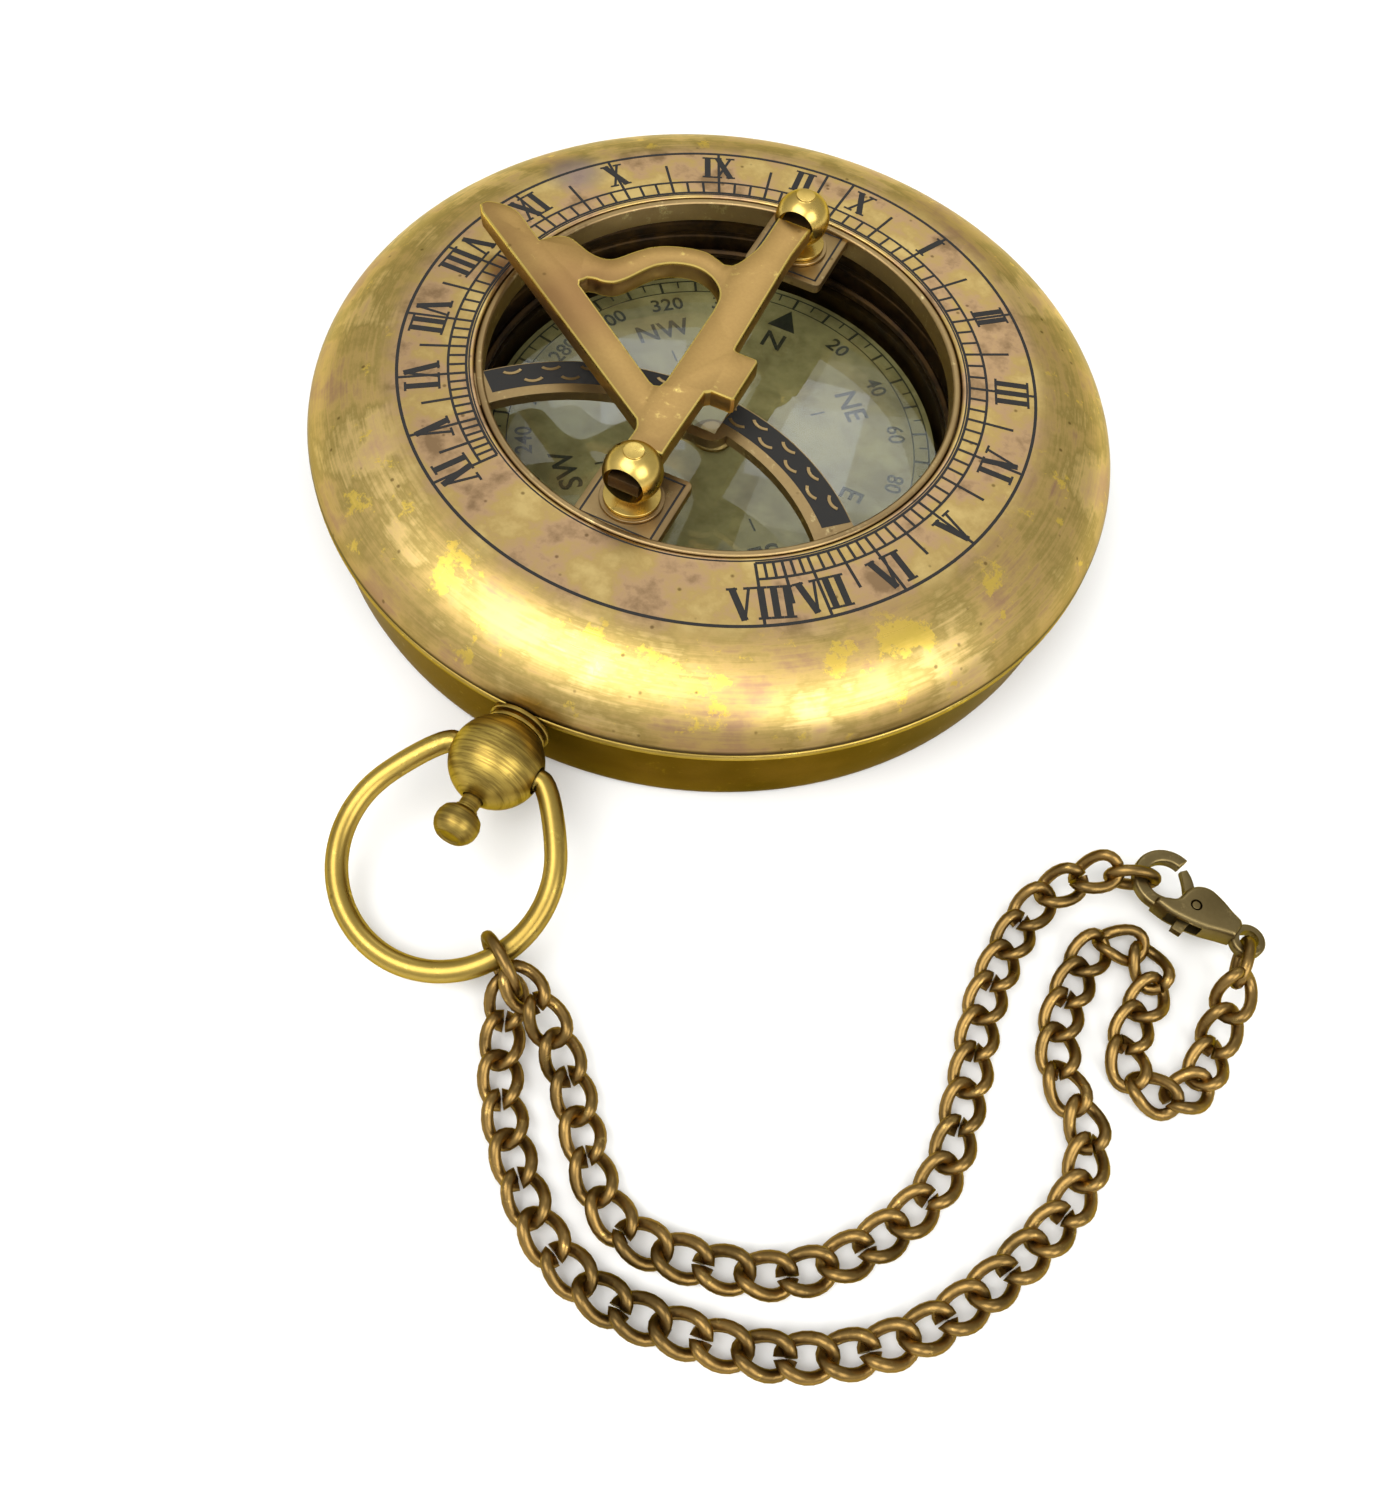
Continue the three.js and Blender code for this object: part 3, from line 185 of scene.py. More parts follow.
def aged_brass(name, polished, patina, stain, patch, share, rough, grain=None, fleck=0.28, blotch=0.6):
    """Brass with patina rubbed through in patches. patch is a patch's size in mm, share how much is
    still patina, grain the stretch of the brushing along X, Y and Z. fleck is how far the fine flecks
    brighten it, and blotch how strong the stains are."""
    new, tree, shader, where = material(name)
    patches = node(
        tree, "TexNoise", {"Vector": where, "Scale": 1 / (patch * MM), "Detail": 6, "Roughness": 0.62}
    )
    flecks = node(tree, "TexNoise", {"Vector": where, "Scale": 1 / (0.9 * MM), "Detail": 3, "Roughness": 0.7})
    spread = node(tree, "Math", {0: flecks, 1: fleck}, operation="MULTIPLY")
    mottled = node(tree, "Math", {0: patches, 1: flecks, 2: spread}, operation="MULTIPLY_ADD")
    worn = node(tree, "ValToRGB", {0: mottled}, stops=[(share - 0.07, patina), (share + 0.09, polished)])
    clouds = node(tree, "TexNoise", {"Vector": where, "Scale": 1 / (3.2 * patch * MM), "Detail": 3})
    cloud = node(tree, "ValToRGB", {0: clouds}, stops=[(0.44, 0.0), (0.66, blotch)])
    skin = node(tree, "Mix", {0: cloud, 6: worn, 7: stain}, data_type="RGBA")
    skin = pitted(tree, where, 2.6, 0.45, skin)
    smooth = node(
        tree, "MapRange", {0: mottled, 1: share - 0.12, 2: share + 0.12, 3: rough[1], 4: rough[0]}
    )
    drawn = node(tree, "Mapping", {"Vector": where, "Scale": grain or (1, 1, 1)})
    lines = node(tree, "TexNoise", {"Vector": drawn, "Scale": 1 / (0.35 * MM), "Detail": 4, "Roughness": 0.7})
    scratches = node(
        tree, "Bump", {"Height": lines, "Strength": 0.16 if grain else 0.07, "Distance": 0.05 * MM}
    )
    # Dirt stays in the lathe's scratches, so brushed brass is streaked in its colour too
    dirt = node(tree, "ValToRGB", {0: lines}, stops=[(0.42, 0.75 if grain else 0.12), (0.56, 0.0)])
    skin = node(tree, "Mix", {0: dirt, 6: skin, 7: stain}, data_type="RGBA")
    plug(tree, shader, {
        "Base Color": skin, "Roughness": smooth, "Normal": dented(tree, where, 6, 0.12, scratches),
        "Metallic": 1.0, "Specular Tint": "#d8c892",
    })
    return new


def plain(name, colour, other, size, rough, metallic=0.0, bump=0.08):
    """A finish of two near colours in grains of the given size in mm."""
    new, tree, shader, where = material(name)
    grains = node(
        tree, "TexNoise", {"Vector": where, "Scale": 1 / (size * MM), "Detail": 5, "Roughness": 0.65}
    )
    mixed = node(tree, "ValToRGB", {0: grains}, stops=[(0.36, colour), (0.66, other)])
    uneven = node(tree, "MapRange", {0: grains, 1: 0.3, 2: 0.7, 3: rough - 0.06, 4: rough + 0.08})
    relief = node(tree, "Bump", {"Height": grains, "Strength": bump, "Distance": 0.05 * MM})
    plug(tree, shader, {"Base Color": mixed, "Roughness": uneven, "Normal": relief, "Metallic": metallic})
    return new


def dial_and_dome():
    """Spun brass lid under thin old lacquer: pinkish on the flat dial, and golden, olive and tan in soft
    areas on the dome. It is rubbed through to bright yellow flakes where a thumb holds it. Towards the
    seam it is painted brown as shade, and it is almost black along the seam itself."""
    new, tree, shader, where = material("spun_brass_lid")
    flat = node(tree, "Mapping", {"Vector": where, "Scale": (1, 1, 0)})
    radius = node(tree, "VectorMath", {0: flat}, operation="LENGTH")
    height = node(tree, "SeparateXYZ", {0: where}).outputs[2]

    def near(place, inner, outer, share):
        """A share around a place in mm, which fades out from the inner to the outer distance."""
        at = [c * MM for c in place]
        away = node(tree, "VectorMath", {0: where, 1: at}, operation="DISTANCE")
        return node(tree, "MapRange", {0: away, 1: inner * MM, 2: outer * MM, 3: share, 4: 0.0})

    # Turning marks change every half millimetre down the side, and slowly on the way round
    down = node(tree, "Math", {0: radius, 1: height}, operation="SUBTRACT")
    slow = node(tree, "Mapping", {"Vector": where, "Scale": (0.05, 0.05, 0)})
    round_it = node(tree, "SeparateXYZ", {0: slow}).outputs
    spun = node(tree, "CombineXYZ", {0: round_it[0], 1: round_it[1], 2: down})
    marks = node(tree, "TexNoise", {"Vector": spun, "Scale": 1 / (0.5 * MM), "Detail": 4, "Roughness": 0.62})
    clouds = node(tree, "TexNoise", {"Vector": where, "Scale": 1 / (11 * MM), "Detail": 6, "Roughness": 0.6})
    streaked = node(tree, "Mix", {0: 0.2, 2: clouds, 3: marks}, data_type="FLOAT")
    dome_tone = node(
        tree, "ValToRGB", {0: streaked},
        stops=[(0.38, "#b4906c"), (0.45, "#cbac6a"), (0.51, "#ad9656"), (0.57, "#dcbe7a"), (0.66, "#cba580")],
    )
    # Where the lacquer is rubbed through: ragged flakes, most of them on the near shoulder
    worn = node(tree, "TexNoise", {"Vector": where, "Scale": 1 / (3.4 * MM), "Detail": 10, "Roughness": 0.7})
    for place, size, share in (
        ((3.9, -32.0, 15.0), 6, 0.1), ((25.5, -20.6, 14.8), 7, 0.12), ((31.9, -11.6, 14.2), 6, 0.07),
        ((-22.0, -27.0, 13.6), 9, 0.06), ((-7.7, -30.8, 15.1), 6, 0.08), ((13.0, -31.0, 14.6), 6, 0.06),
    ):
        worn = node(tree, "Math", {0: worn, 1: near(place, 0.2 * size, size, share)}, operation="ADD")
    flakes = node(tree, "ValToRGB", {0: worn}, stops=[(0.61, 0.0), (0.65, 0.7)])
    tint = node(tree, "TexNoise", {"Vector": where, "Scale": 1 / (5 * MM), "Detail": 6, "Roughness": 0.62})
    dial_tone = node(
        tree, "ValToRGB", {0: tint},
        stops=[(0.34, "#957958"), (0.45, "#c09e76"), (0.54, "#c0a365"), (0.66, "#d4b978")],
    )
    on_dome = node(tree, "MapRange", {0: radius, 1: 29.2 * MM, 2: 31.2 * MM, 3: 0.0, 4: 1.0})
    skin = node(tree, "Mix", {0: flakes, 6: dome_tone, 7: "#f2d05a"}, data_type="RGBA")
    skin = node(tree, "Mix", {0: on_dome, 6: dial_tone, 7: skin}, data_type="RGBA")
    # A heat stain beside the tenth morning hour, grey and violet
    heat = near((-23.8, 16.6, 15.8), 1.6, 3.6, 0.55)
    # Painted shade: brown towards the seam. Almost black along the seam itself, the dark joint
    low = node(tree, "MapRange", {0: height, 1: 9.8 * MM, 2: 12.6 * MM, 3: 0.7, 4: 0.0})
    grime = node(tree, "MapRange", {0: height, 1: 9.95 * MM, 2: 10.2 * MM, 3: 0.85, 4: 0.0})
    for share, tone in ((heat, "#8d8288"), (low, "#6e5630"), (grime, "#2b1f12")):
        skin = node(tree, "Mix", {0: share, 6: skin, 7: tone}, data_type="RGBA")
    skin = pitted(tree, where, 2.3, 0.6, skin)
    gloss = node(tree, "MapRange", {0: flakes, 1: 0.0, 2: 1.0, 3: 0.3, 4: 0.2})
    uneven = node(tree, "Math", {0: marks, 1: 0.12, 2: gloss}, operation="MULTIPLY_ADD")
    fine = node(tree, "Bump", {"Height": marks, "Strength": 0.12, "Distance": 0.05 * MM})
    plug(tree, shader, {
        "Base Color": skin, "Roughness": uneven, "Normal": dented(tree, where, 7, 0.16, fine),
        "Metallic": 1.0, "Specular Tint": "#e8deb8",
    })
    return new


def window_glass():
    """Flat crown glass: clear and nearly colourless, and it mirrors the panes of the room a little."""
    new, tree, shader, _ = material("clear_window_glass")
    glass = {"Base Color": "#e8ebdf", "Roughness": 0.02, "IOR": 1.5, "Transmission Weight": 1.0}
    plug(tree, shader, glass)
    # Light reaches the card under it as through open air, which keeps the card free of grain
    clear = node(tree, "BsdfTransparent", {"Color": "#eef0e7"})
    path = node(tree, "LightPath").outputs
    rays = {0: path["Is Shadow Ray"], 1: path["Is Diffuse Ray"]}
    passing = node(tree, "Math", rays, operation="MAXIMUM")
    both = node(tree, "MixShader", {0: passing, 1: shader, 2: clear})
    out = next(n for n in tree.nodes if n.type == "OUTPUT_MATERIAL")
    plug(tree, out, {"Surface": both})
    return new


FINISH = {
    "lid": dial_and_dome(),
    # Spun and turned brass, brown where the patina stayed and olive where it is thin. Its dark tone and
    # strong stains are partly a painted reflection of a dark surface below
    "base": aged_brass("aged_brass_base_and_painted_dark_reflection", "#a5884c", "#6b5232", "#332616", 5, 0.6, (0.24, 0.38), blotch=0.95),
    "bridge": aged_brass("aged_brass_bridge", "#d2bf88", "#a58c60", "#7f684a", 3.6, 0.57, (0.24, 0.4)),
    # Sand-cast and hand-filed brass of the gnomon
    "gnomon": aged_brass(
        "cast_brass_gnomon", "#ecd47a", "#b8965c", "#96704a", 4.6, 0.48, (0.2, 0.38), fleck=0.08,
        blotch=0.75,
    ),
    "edge": aged_brass("rubbed_brass_edges", "#f2dc85", "#e0c56c", "#c8aa5a", 2.5, 0.55, (0.16, 0.28)),
    "ball": aged_brass("turned_brass_balls", "#ecd47a", "#cdb060", "#a08446", 2.6, 0.58, (0.14, 0.28)),
    "pendant": aged_brass(
        "lathe_brushed_brass", "#e0c860", "#b1984a", "#6f5a2c", 3.2, 0.6, (0.22, 0.38),
        grain=(0.07, 1.3, 0.07),
    ),
    "bail": aged_brass("drawn_brass_wire", "#d2b95c", "#a98f47", "#7d6730", 3.0, 0.56, (0.18, 0.32)),
    # Bronze-plated steel wire of the chain: dark in the hollows, golden where it is rubbed
    "chain": aged_brass("antique_bronze_plate", "#c6a65e", "#8a6e3e", "#4f3f24", 1.3, 0.57, (0.2, 0.34)),
    "clasp": aged_brass("antique_bronze_clasp", "#b09a68", "#80704a", "#5a4a2c", 2.4, 0.56, (0.22, 0.36)),
    # Near-black brass: oxide, and painted shade in the compass well and in the bores of the balls
    "dark": plain("oxidised_brass_and_painted_shade", "#2b1f12", "#4a3517", 2.2, 0.42, metallic=0.85),
    "ink": plain("black_wax_filling", "#0e0c09", "#1c1914", 0.5, 0.74, bump=0.25),
    # The card's paper is darker than its cream: partly age, partly painted shade of the lid over it
    "card": plain("aged_paper_and_painted_shade", "#a2986f", "#7c714e", 3.5, 0.6, bump=0.12),
    "print": plain("black_printing_ink", "#191a15", "#26281f", 0.4, 0.6),
    "steel": plain("drawn_steel", "#8f8c84", "#a9a69c", 1.2, 0.3, metallic=1.0),
    "glass": window_glass(),
}

# Making of pieces


def made(bm, name, body, finish, instead=(), sharp=32, second=None):
    """A bmesh in millimetres as a finished object in metres that moves with a body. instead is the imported
    nodes that it stands for, and sharp the angle in degrees from which an edge is creased. Faces marked 1
    have the second finish."""
    bmesh.ops.remove_doubles(bm, verts=bm.verts, dist=TINY)
    bmesh.ops.scale(bm, vec=(MM, MM, MM), verts=bm.verts)
    for face in bm.faces:
        face.smooth = True
    for edge in bm.edges:
        if len(edge.link_faces) == 2:
            edge.smooth = edge.calc_face_angle(0) < math.radians(sharp)
    mesh = as_mesh(bm, name)
    for key in (finish, second) if second else (finish,):
        mesh.materials.append(FINISH[key])
    piece = placed(name, mesh)
    if body:
        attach(piece, body)
    if instead:
        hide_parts(*([instead] if isinstance(instead, str) else instead))
    return piece


def rounded(profile, size):
    """The profile's corners rounded by size, or by less where its sides are short."""
    points = [Vector(p) for p in profile]
    out = [points[0]]
    for before, here, after in zip(points, points[1:], points[2:]):
        back, ahead = before - here, after - here
        if back.length < 1e-6 or ahead.length < 1e-6 or math.pi - back.angle(ahead) < 0.35:
            out.append(here)
            continue
        reach = min(size, back.length * 0.4, ahead.length * 0.4)
        start, end = here + back.normalized() * reach, here + ahead.normalized() * reach
        for t in (0, 0.3, 0.7, 1):
            out.append(start * (1 - t) ** 2 + here * 2 * t * (1 - t) + end * t * t)
    return out + [points[-1]]


# What turns the Z axis into the axis of a piece
QUARTER_TURNS = {"X": (math.pi / 2, 3, "Y"), "Y": (-math.pi / 2, 3, "X")}


def lathed(profile, steps=128, edge=0.12, axis="Z", at=(0, 0, 0)):
    """A bmesh turned from a profile of radius and place along the axis."""
    ring = profile[0][0] > 0 or profile[-1][0] > 0
    line = rounded(profile, edge)
    if ring:
        middle = (Vector(profile[0]) + Vector(profile[-1])) / 2
        line = rounded([middle, *profile, middle], edge)[:-1]
    bm = bmesh.new()
    verts = [bm.verts.new((r, 0, z)) for r, z in line]
    edges = [bm.edges.new(pair) for pair in zip(verts, verts[1:])]
    if ring:
        edges.append(bm.edges.new((verts[-1], verts[0])))
    bmesh.ops.spin(
        bm, geom=verts + edges, cent=(0, 0, 0), axis=(0, 0, 1), angle=2 * math.pi, steps=steps,
        use_merge=True,
    )
    bmesh.ops.remove_doubles(bm, verts=bm.verts, dist=TINY)
    bmesh.ops.recalc_face_normals(bm, faces=bm.faces)
    if axis in QUARTER_TURNS:
        turn = Matrix.Rotation(*QUARTER_TURNS[axis])
        bmesh.ops.rotate(bm, cent=(0, 0, 0), matrix=turn, verts=bm.verts)
    bmesh.ops.translate(bm, vec=at, verts=bm.verts)
    return bm


def rod(radius, low, high, axis, at=(0, 0, 0), steps=32, edge=0.1):
    return lathed([(0, low), (radius, low), (radius, high), (0, high)], steps, edge, axis, at)


def bevel(bm, edges, size, segments=2, finish=-1):
    bmesh.ops.bevel(
        bm, geom=edges, offset=size, segments=segments, profile=0.5, affect="EDGES", material=finish
    )


def block(x0, x1, y0, y1, z0, z1, edge=0.0):
    bm = bmesh.new()
    size = Matrix.Diagonal((x1 - x0, y1 - y0, z1 - z0, 1))
    bmesh.ops.create_cube(
        bm, size=1, matrix=Matrix.Translation(((x0 + x1) / 2, (y0 + y1) / 2, (z0 + z1) / 2)) @ size
    )
    if edge:
        bevel(bm, bm.edges[:], edge)
    return bm


def flat_plate(outline, z0, z1, holes=(), edge=0.0, edge_finish=-1, segments=2):
    """A plate of even thickness with rounded edges."""
    bm = bmesh.new()
    rim = []
    for loop in (outline, *holes):
        verts = [bm.verts.new((x, y, z0)) for x, y in loop]
        rim += [bm.edges.new(pair) for pair in zip(verts, verts[1:] + verts[:1])]
    bmesh.ops.triangle_fill(bm, edges=rim, use_beauty=True)
    raised = bmesh.ops.extrude_face_region(bm, geom=bm.faces[:])
    top = [v for v in raised["geom"] if isinstance(v, bmesh.types.BMVert)]
    bmesh.ops.translate(bm, vec=(0, 0, z1 - z0), verts=top)
    bmesh.ops.recalc_face_normals(bm, faces=bm.faces)
    if edge:
        corners = [
            e for e in bm.edges
            if len(e.link_faces) == 2 and e.calc_face_angle(0) > 0.9
            and abs(e.verts[0].co.z - e.verts[1].co.z) < 1e-5
        ]
        bevel(bm, corners, edge, segments, edge_finish)
    bmesh.ops.triangulate(bm, faces=[f for f in bm.faces if len(f.verts) > 4])
    return bm


# Sides of an outline that are longer than this stay straight
LONG_SIDE = 5


def smooth_line(points, parts=4, sharp=36):
    """The closed outline with its gentle bends rounded. Sharper corners and the ends of long sides stay."""
    line = [Vector(p) for p in points]
    count = len(line)
    corner = []
    for i, here in enumerate(line):
        back, ahead = here - line[i - 1], line[(i + 1) % count] - here
        corner.append(back.angle(ahead) > math.radians(sharp) or max(back.length, ahead.length) > LONG_SIDE)
    out = []
    for i in range(count):
        a, b = line[i], line[(i + 1) % count]
        before = a * 2 - b if corner[i] else line[i - 1]
        after = b * 2 - a if corner[(i + 1) % count] else line[(i + 2) % count]
        if (b - a).length > LONG_SIDE:
            out.append(a)
            continue
        for step in range(parts):
            t = step / parts
            out.append(0.5 * (
                2 * a + (b - before) * t + (2 * before - 5 * a + 4 * b - after) * t * t
                + (3 * a - before - 3 * b + after) * t**3
            ))
    return out


def arc(x, y, r, start, end, steps):
    """Points on a circle round x and y, with its angles in degrees."""
    return [
        (x + r * math.cos(math.radians(a)), y + r * math.sin(math.radians(a)))
        for a in (start + (end - start) * i / steps for i in range(steps + 1))
    ]


def rounded_box(x0, x1, y0, y1, r, steps):
    """The outline of a rectangle with round corners."""
    return [
        *arc(x1 - r, y1 - r, r, 0, 90, steps), *arc(x0 + r, y1 - r, r, 90, 180, steps),
        *arc(x0 + r, y0 + r, r, 180, 270, steps), *arc(x1 - r, y0 + r, r, 270, 360, steps),
    ]


def combined(*parts):
    """Several bmeshes as one."""
    bm = parts[0]
    for part in parts[1:]:
        mesh = as_mesh(part, "part")
        bm.from_mesh(mesh)
        bpy.data.meshes.remove(mesh)
    return bm


def cut(bm, *tools, add=()):
    """A closed bmesh with others added to it, and then others cut away."""
    whole = placed("whole", as_mesh(bm, "whole"))
    others = []
    for shape, operation in [(s, "UNION") for s in add] + [(s, "DIFFERENCE") for s in tools]:
        tool = placed("tool", as_mesh(shape, "tool"))
        others.append(tool)
        step = whole.modifiers.new("step", "BOOLEAN")
        step.operation, step.solver, step.object = operation, "EXACT", tool
    out = shape_of(whole)
    # An object goes with its mesh
    for thing in (whole, *others):
        bpy.data.meshes.remove(thing.data)
    return out


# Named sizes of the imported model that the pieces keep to, in millimetres
CASE_R, SEAM_Z, STEP_Z, LID_LOW, LID_WALL = 38, 9.6, 9.45, 9.75, 1.2
DIAL_R, DIAL_Z, CROWN, SQUARENESS = 29.25, 15.6, 0.66, 1.67
HINGE = (0, 37.2, SEAM_Z)
KNUCKLE_R, KNUCKLE_ROOM, PIN_BORE, COLLAR_BORE = 1.15, 1.55, 0.65, 1.5
PENDANT = (0, -42.2, 7.6)
PENDANT_LINE = (0, 0, PENDANT[2])
WINDOW_R, LIP_R, POST_Y, BALL_Z, BALL_R = 22.4, 21.55, 18, 19, 2.6
CARD_LOW, CARD_TOP, BRIDGE_LOW, BRIDGE_TOP = 5, 5.35, 14.5, 15.5


def crown(r):
    """The height of the dial, which is slightly domed."""
    return DIAL_Z + CROWN * (1 - (r / DIAL_R) ** 2)


def dome(wall, steps):
    """The lid's shoulder from the seam up to the dial, a superellipse, at this depth inside the lid."""
    out = []
    for i in range(steps + 1):
        t = math.pi / 2 * (1 - i / steps)
        r = DIAL_R + (CASE_R - DIAL_R - wall) * math.sin(t) ** (2 / SQUARENESS)
        z = SEAM_Z + (DIAL_Z - SEAM_Z - wall) * max(math.cos(t), 0) ** (2 / SQUARENESS)
        out.append((r, max(z, LID_LOW)))
    return out


def knuckle(low, high, z0, z1):
    """A hinge knuckle bored for its pin, on a web between two heights."""
    return cut(
        rod(KNUCKLE_R, low, high, "X", HINGE), rod(PIN_BORE, low - 1, high + 1, "X", HINGE),
        add=[block(low, high, 36.3, HINGE[1], z0, z1)],
    )


# Case base: cup with rounded foot, rim ridge, locating step, hinge knuckles and catch ears
base_profile = [
    (0, 0), (35.6, 0), (36.1, 0.1), (36.5, 0.55), (36.75, 1.5), (37.1, 4.0), (37.62, 8.45), (37.66, 8.5),
    (37.72, 8.62), (CASE_R, 8.84), (CASE_R, 9.3), (37.85, STEP_Z), (36.4, STEP_Z), (36.4, 10.5),
    (35.9, 10.5), (35.9, 7.8), (34.6, 7.8), (34.6, 1.2), (0, 1.2),
]
base_cup = cut(
    lathed(base_profile, 192, 0.09),
    block(-8.2, 8.2, 34.4, 36.5, STEP_Z, 12),
    block(-2.9, 2.9, -36.5, -34.4, STEP_Z, 12),
    rod(KNUCKLE_ROOM, -7.9, 7.9, "X", HINGE),
    rod(COLLAR_BORE, -39.5, -33.1, "Y", PENDANT_LINE),
)
# Painted highlight: the ridge under the seam gets the brighter wire finish, so that it reads as a bright line
RIDGE_Z, RIDGE_R = 8.5, 37.6
for face in base_cup.faces:
    middle = face.calc_center_median()
    if middle.z > RIDGE_Z and math.hypot(middle.x, middle.y) > RIDGE_R:
        face.material_index = 1
made(base_cup, "base_cup", "base", "base", "case_base", second="bail")
for side, name in ((1, "east"), (-1, "west")):
    low, high = sorted((side * 2.8, side * 7.6))
    made(knuckle(low, high, 7.5, SEAM_Z), "base_knuckle_" + name, "base", "base")
    low, high = sorted((side * 2.3, side * 3.3))
    catch_bore = rod(PIN_BORE, low - 1, high + 1, "X", (0, -30.4, 2.6))
    ear = cut(block(low, high, -34.7, -28.9, 0.6, 4.1, 0.15), catch_bore)
    made(ear, "catch_ear_" + name, "base", "base")

# Compass bowl: its wall is turned in steps, and almost black, partly oxide and partly painted shade of the
# well
bowl_profile = [
    (0, 1.5), (24.6, 1.5), (24.6, 7.9), (35.6, 7.9), (35.6, 8.6), (24.6, 8.6), (24.6, 13.2), (23.6, 13.2),
    (23.6, 12.3), (23.75, 12.2), (23.75, 11.7), (23.6, 11.6), (23.6, 10.7), (23.75, 10.6), (23.75, 10.1),
    (23.6, 10.0), (23.6, 7), (22.5, 7), (22.5, 2.5), (0, 2.5),
]
made(
    cut(lathed(bowl_profile, 160, 0.06), block(-2.6, 2.6, -37, -27, 6.4, 10.1)),
    "bowl_with_deck", "base", "dark", "compass_bowl",
)
made(
    lathed([(0, 7.1), (23.3, 7.1), (23.3, 7.85), (23.05, 8.1), (0, 8.1)], 128, 0.05),
    "window_glass", "base", "glass", "compass_glass",
)
made(
    lathed([(22.6, 8.2), (23.3, 8.2), (23.3, 8.7), (22.95, 8.95), (22.6, 8.7)], 128, 0.05),
    "glass_keeper", "base", "dark", "glass_ring",
)

# Card with its printing: degree scale, numbers every 20 degrees, and the eight winds
made(
    lathed([(1.2, CARD_LOW), (21.8, CARD_LOW), (21.8, CARD_TOP), (1.2, CARD_TOP)], 128, 0.04),
    "printed_card", "card", "card", "compass_card",
)


def words(text, size, r, azimuth, bold):
    """Lettering as a flat bmesh, its top turned away from the middle."""
    curve = bpy.data.curves.new("words", "FONT")
    curve.body = text
    curve.size = size
    curve.align_x, curve.align_y = "CENTER", "CENTER"
    curve.offset = bold
    curve.resolution_u = 3
    turn = Matrix.Rotation(math.radians(-azimuth), 4, "Z")
    return moved(surface_of(curve), turn @ Matrix.Translation((0, r, 0)))


def stroke(bm, x, y, length, width, angle=0.0):
    """A flat stroke centred on x and y, its length turned from +Y by an angle, clockwise."""
    place = Matrix.Translation((x, y, 0)) @ Matrix.Rotation(-math.radians(angle), 4, "Z")
    bmesh.ops.create_grid(
        bm, x_segments=1, y_segments=1, size=0.5, matrix=place @ Matrix.Diagonal((width, length, 1, 1))
    )


def polar(r, azimuth):
    """A place on the dial, its azimuth clockwise from noon."""
    return r * math.sin(math.radians(azimuth)), r * math.cos(math.radians(azimuth))


def radial(bm, azimuth, r0, r1, width):
    x, y = polar((r0 + r1) / 2, azimuth)
    stroke(bm, x, y, abs(r1 - r0), width, azimuth)


def band(bm, r0, r1, start, end, steps, centre=(0, 0)):
    """A flat band swept clockwise from one azimuth to another."""
    cx, cy = centre
    ends = [bm.verts.new((cx + x, cy + y, 0)) for x, y in (polar(r0, start), polar(r1, start))]
    edge = bm.edges.new(ends)
    bmesh.ops.spin(
        bm, geom=ends + [edge], cent=(cx, cy, 0), axis=(0, 0, -1), angle=math.radians(end - start),
        steps=steps, use_merge=False,
    )


def inlay(bm, surface, lift, depth):
    """Flat marks laid on a surface: their tops stand lift above it and their roots go depth below."""
    bmesh.ops.remove_doubles(bm, verts=bm.verts, dist=1e-5)
    bmesh.ops.recalc_face_normals(bm, faces=bm.faces)
    flipped = [f for f in bm.faces if f.normal.z < 0]
    bmesh.ops.reverse_faces(bm, faces=flipped)
    lower = bmesh.ops.extrude_face_region(bm, geom=bm.faces[:], use_keep_orig=True)
    roots = {v for v in lower["geom"] if isinstance(v, bmesh.types.BMVert)}
    for v in bm.verts:
        v.co.z = surface(math.hypot(v.co.x, v.co.y)) + (-depth if v in roots else lift)
    bmesh.ops.recalc_face_normals(bm, faces=bm.faces)
    return bm


card_marks = bmesh.new()
for ring, width in ((21.2, 0.16), (19.75, 0.12)):
    band(card_marks, ring - width / 2, ring + width / 2, 0, 360, 120)
for degree in range(0, 360, 5):
    inner, width = (20.3, 0.16) if degree % 10 else (19.7, 0.26)
    radial(card_marks, degree, inner, 21.2, width)
for degree in range(45, 360, 45):
    radial(card_marks, degree, 10.35, 11.85, 0.2)
lettering = [words(str(d), 2.3, 18.05, d, 0.03) for d in range(20, 360, 20)]
for wind, degree in zip(("N", "NE", "E", "SE", "S", "SW", "W", "NW"), range(0, 360, 45)):
    lettering.append(words(wind, 3.1, 14.6, degree, 0.05))
card_marks = combined(card_marks, *lettering)
arrow = [card_marks.verts.new(p) for p in ((-1.5, 16.6, 0), (0, 19.4, 0), (1.5, 16.6, 0))]
card_marks.faces.new(arrow)
made(inlay(card_marks, lambda r: CARD_TOP, 0.02, 0.03), "card_printing", "card", "print")
cap_profile = [
    (0, 5.75), (0.4, 5.65), (0.75, 4.8), (1.1, 4.8), (1.1, 5.45), (2, 5.45), (2, 5.75), (1.2, 6.35),
    (0, 6.35),
]
made(lathed(cap_profile, 48, 0.08), "cap_of_card", "card", "bridge", "card_cap")

# Lid: domed rim, dial ring and hinge knuckle
lid_profile = dome(0, 20) + [(r, crown(r)) for r in (27.5, 25.5, 24, 23.2, 22.6)]
lid_profile += [(WINDOW_R, crown(WINDOW_R) - 0.1), (WINDOW_R, 14.67)] + dome(LID_WALL, 10)[::-1]
made(
    cut(lathed(lid_profile, 256, 0.1), rod(KNUCKLE_ROOM, -7.9, 7.9, "X", HINGE)),
    "lid_cover", "lid", "lid", "lid_shell", sharp=28,
)
made(knuckle(-2.5, 2.5, 9.98, 11.75), "lid_knuckle", "lid", "base")

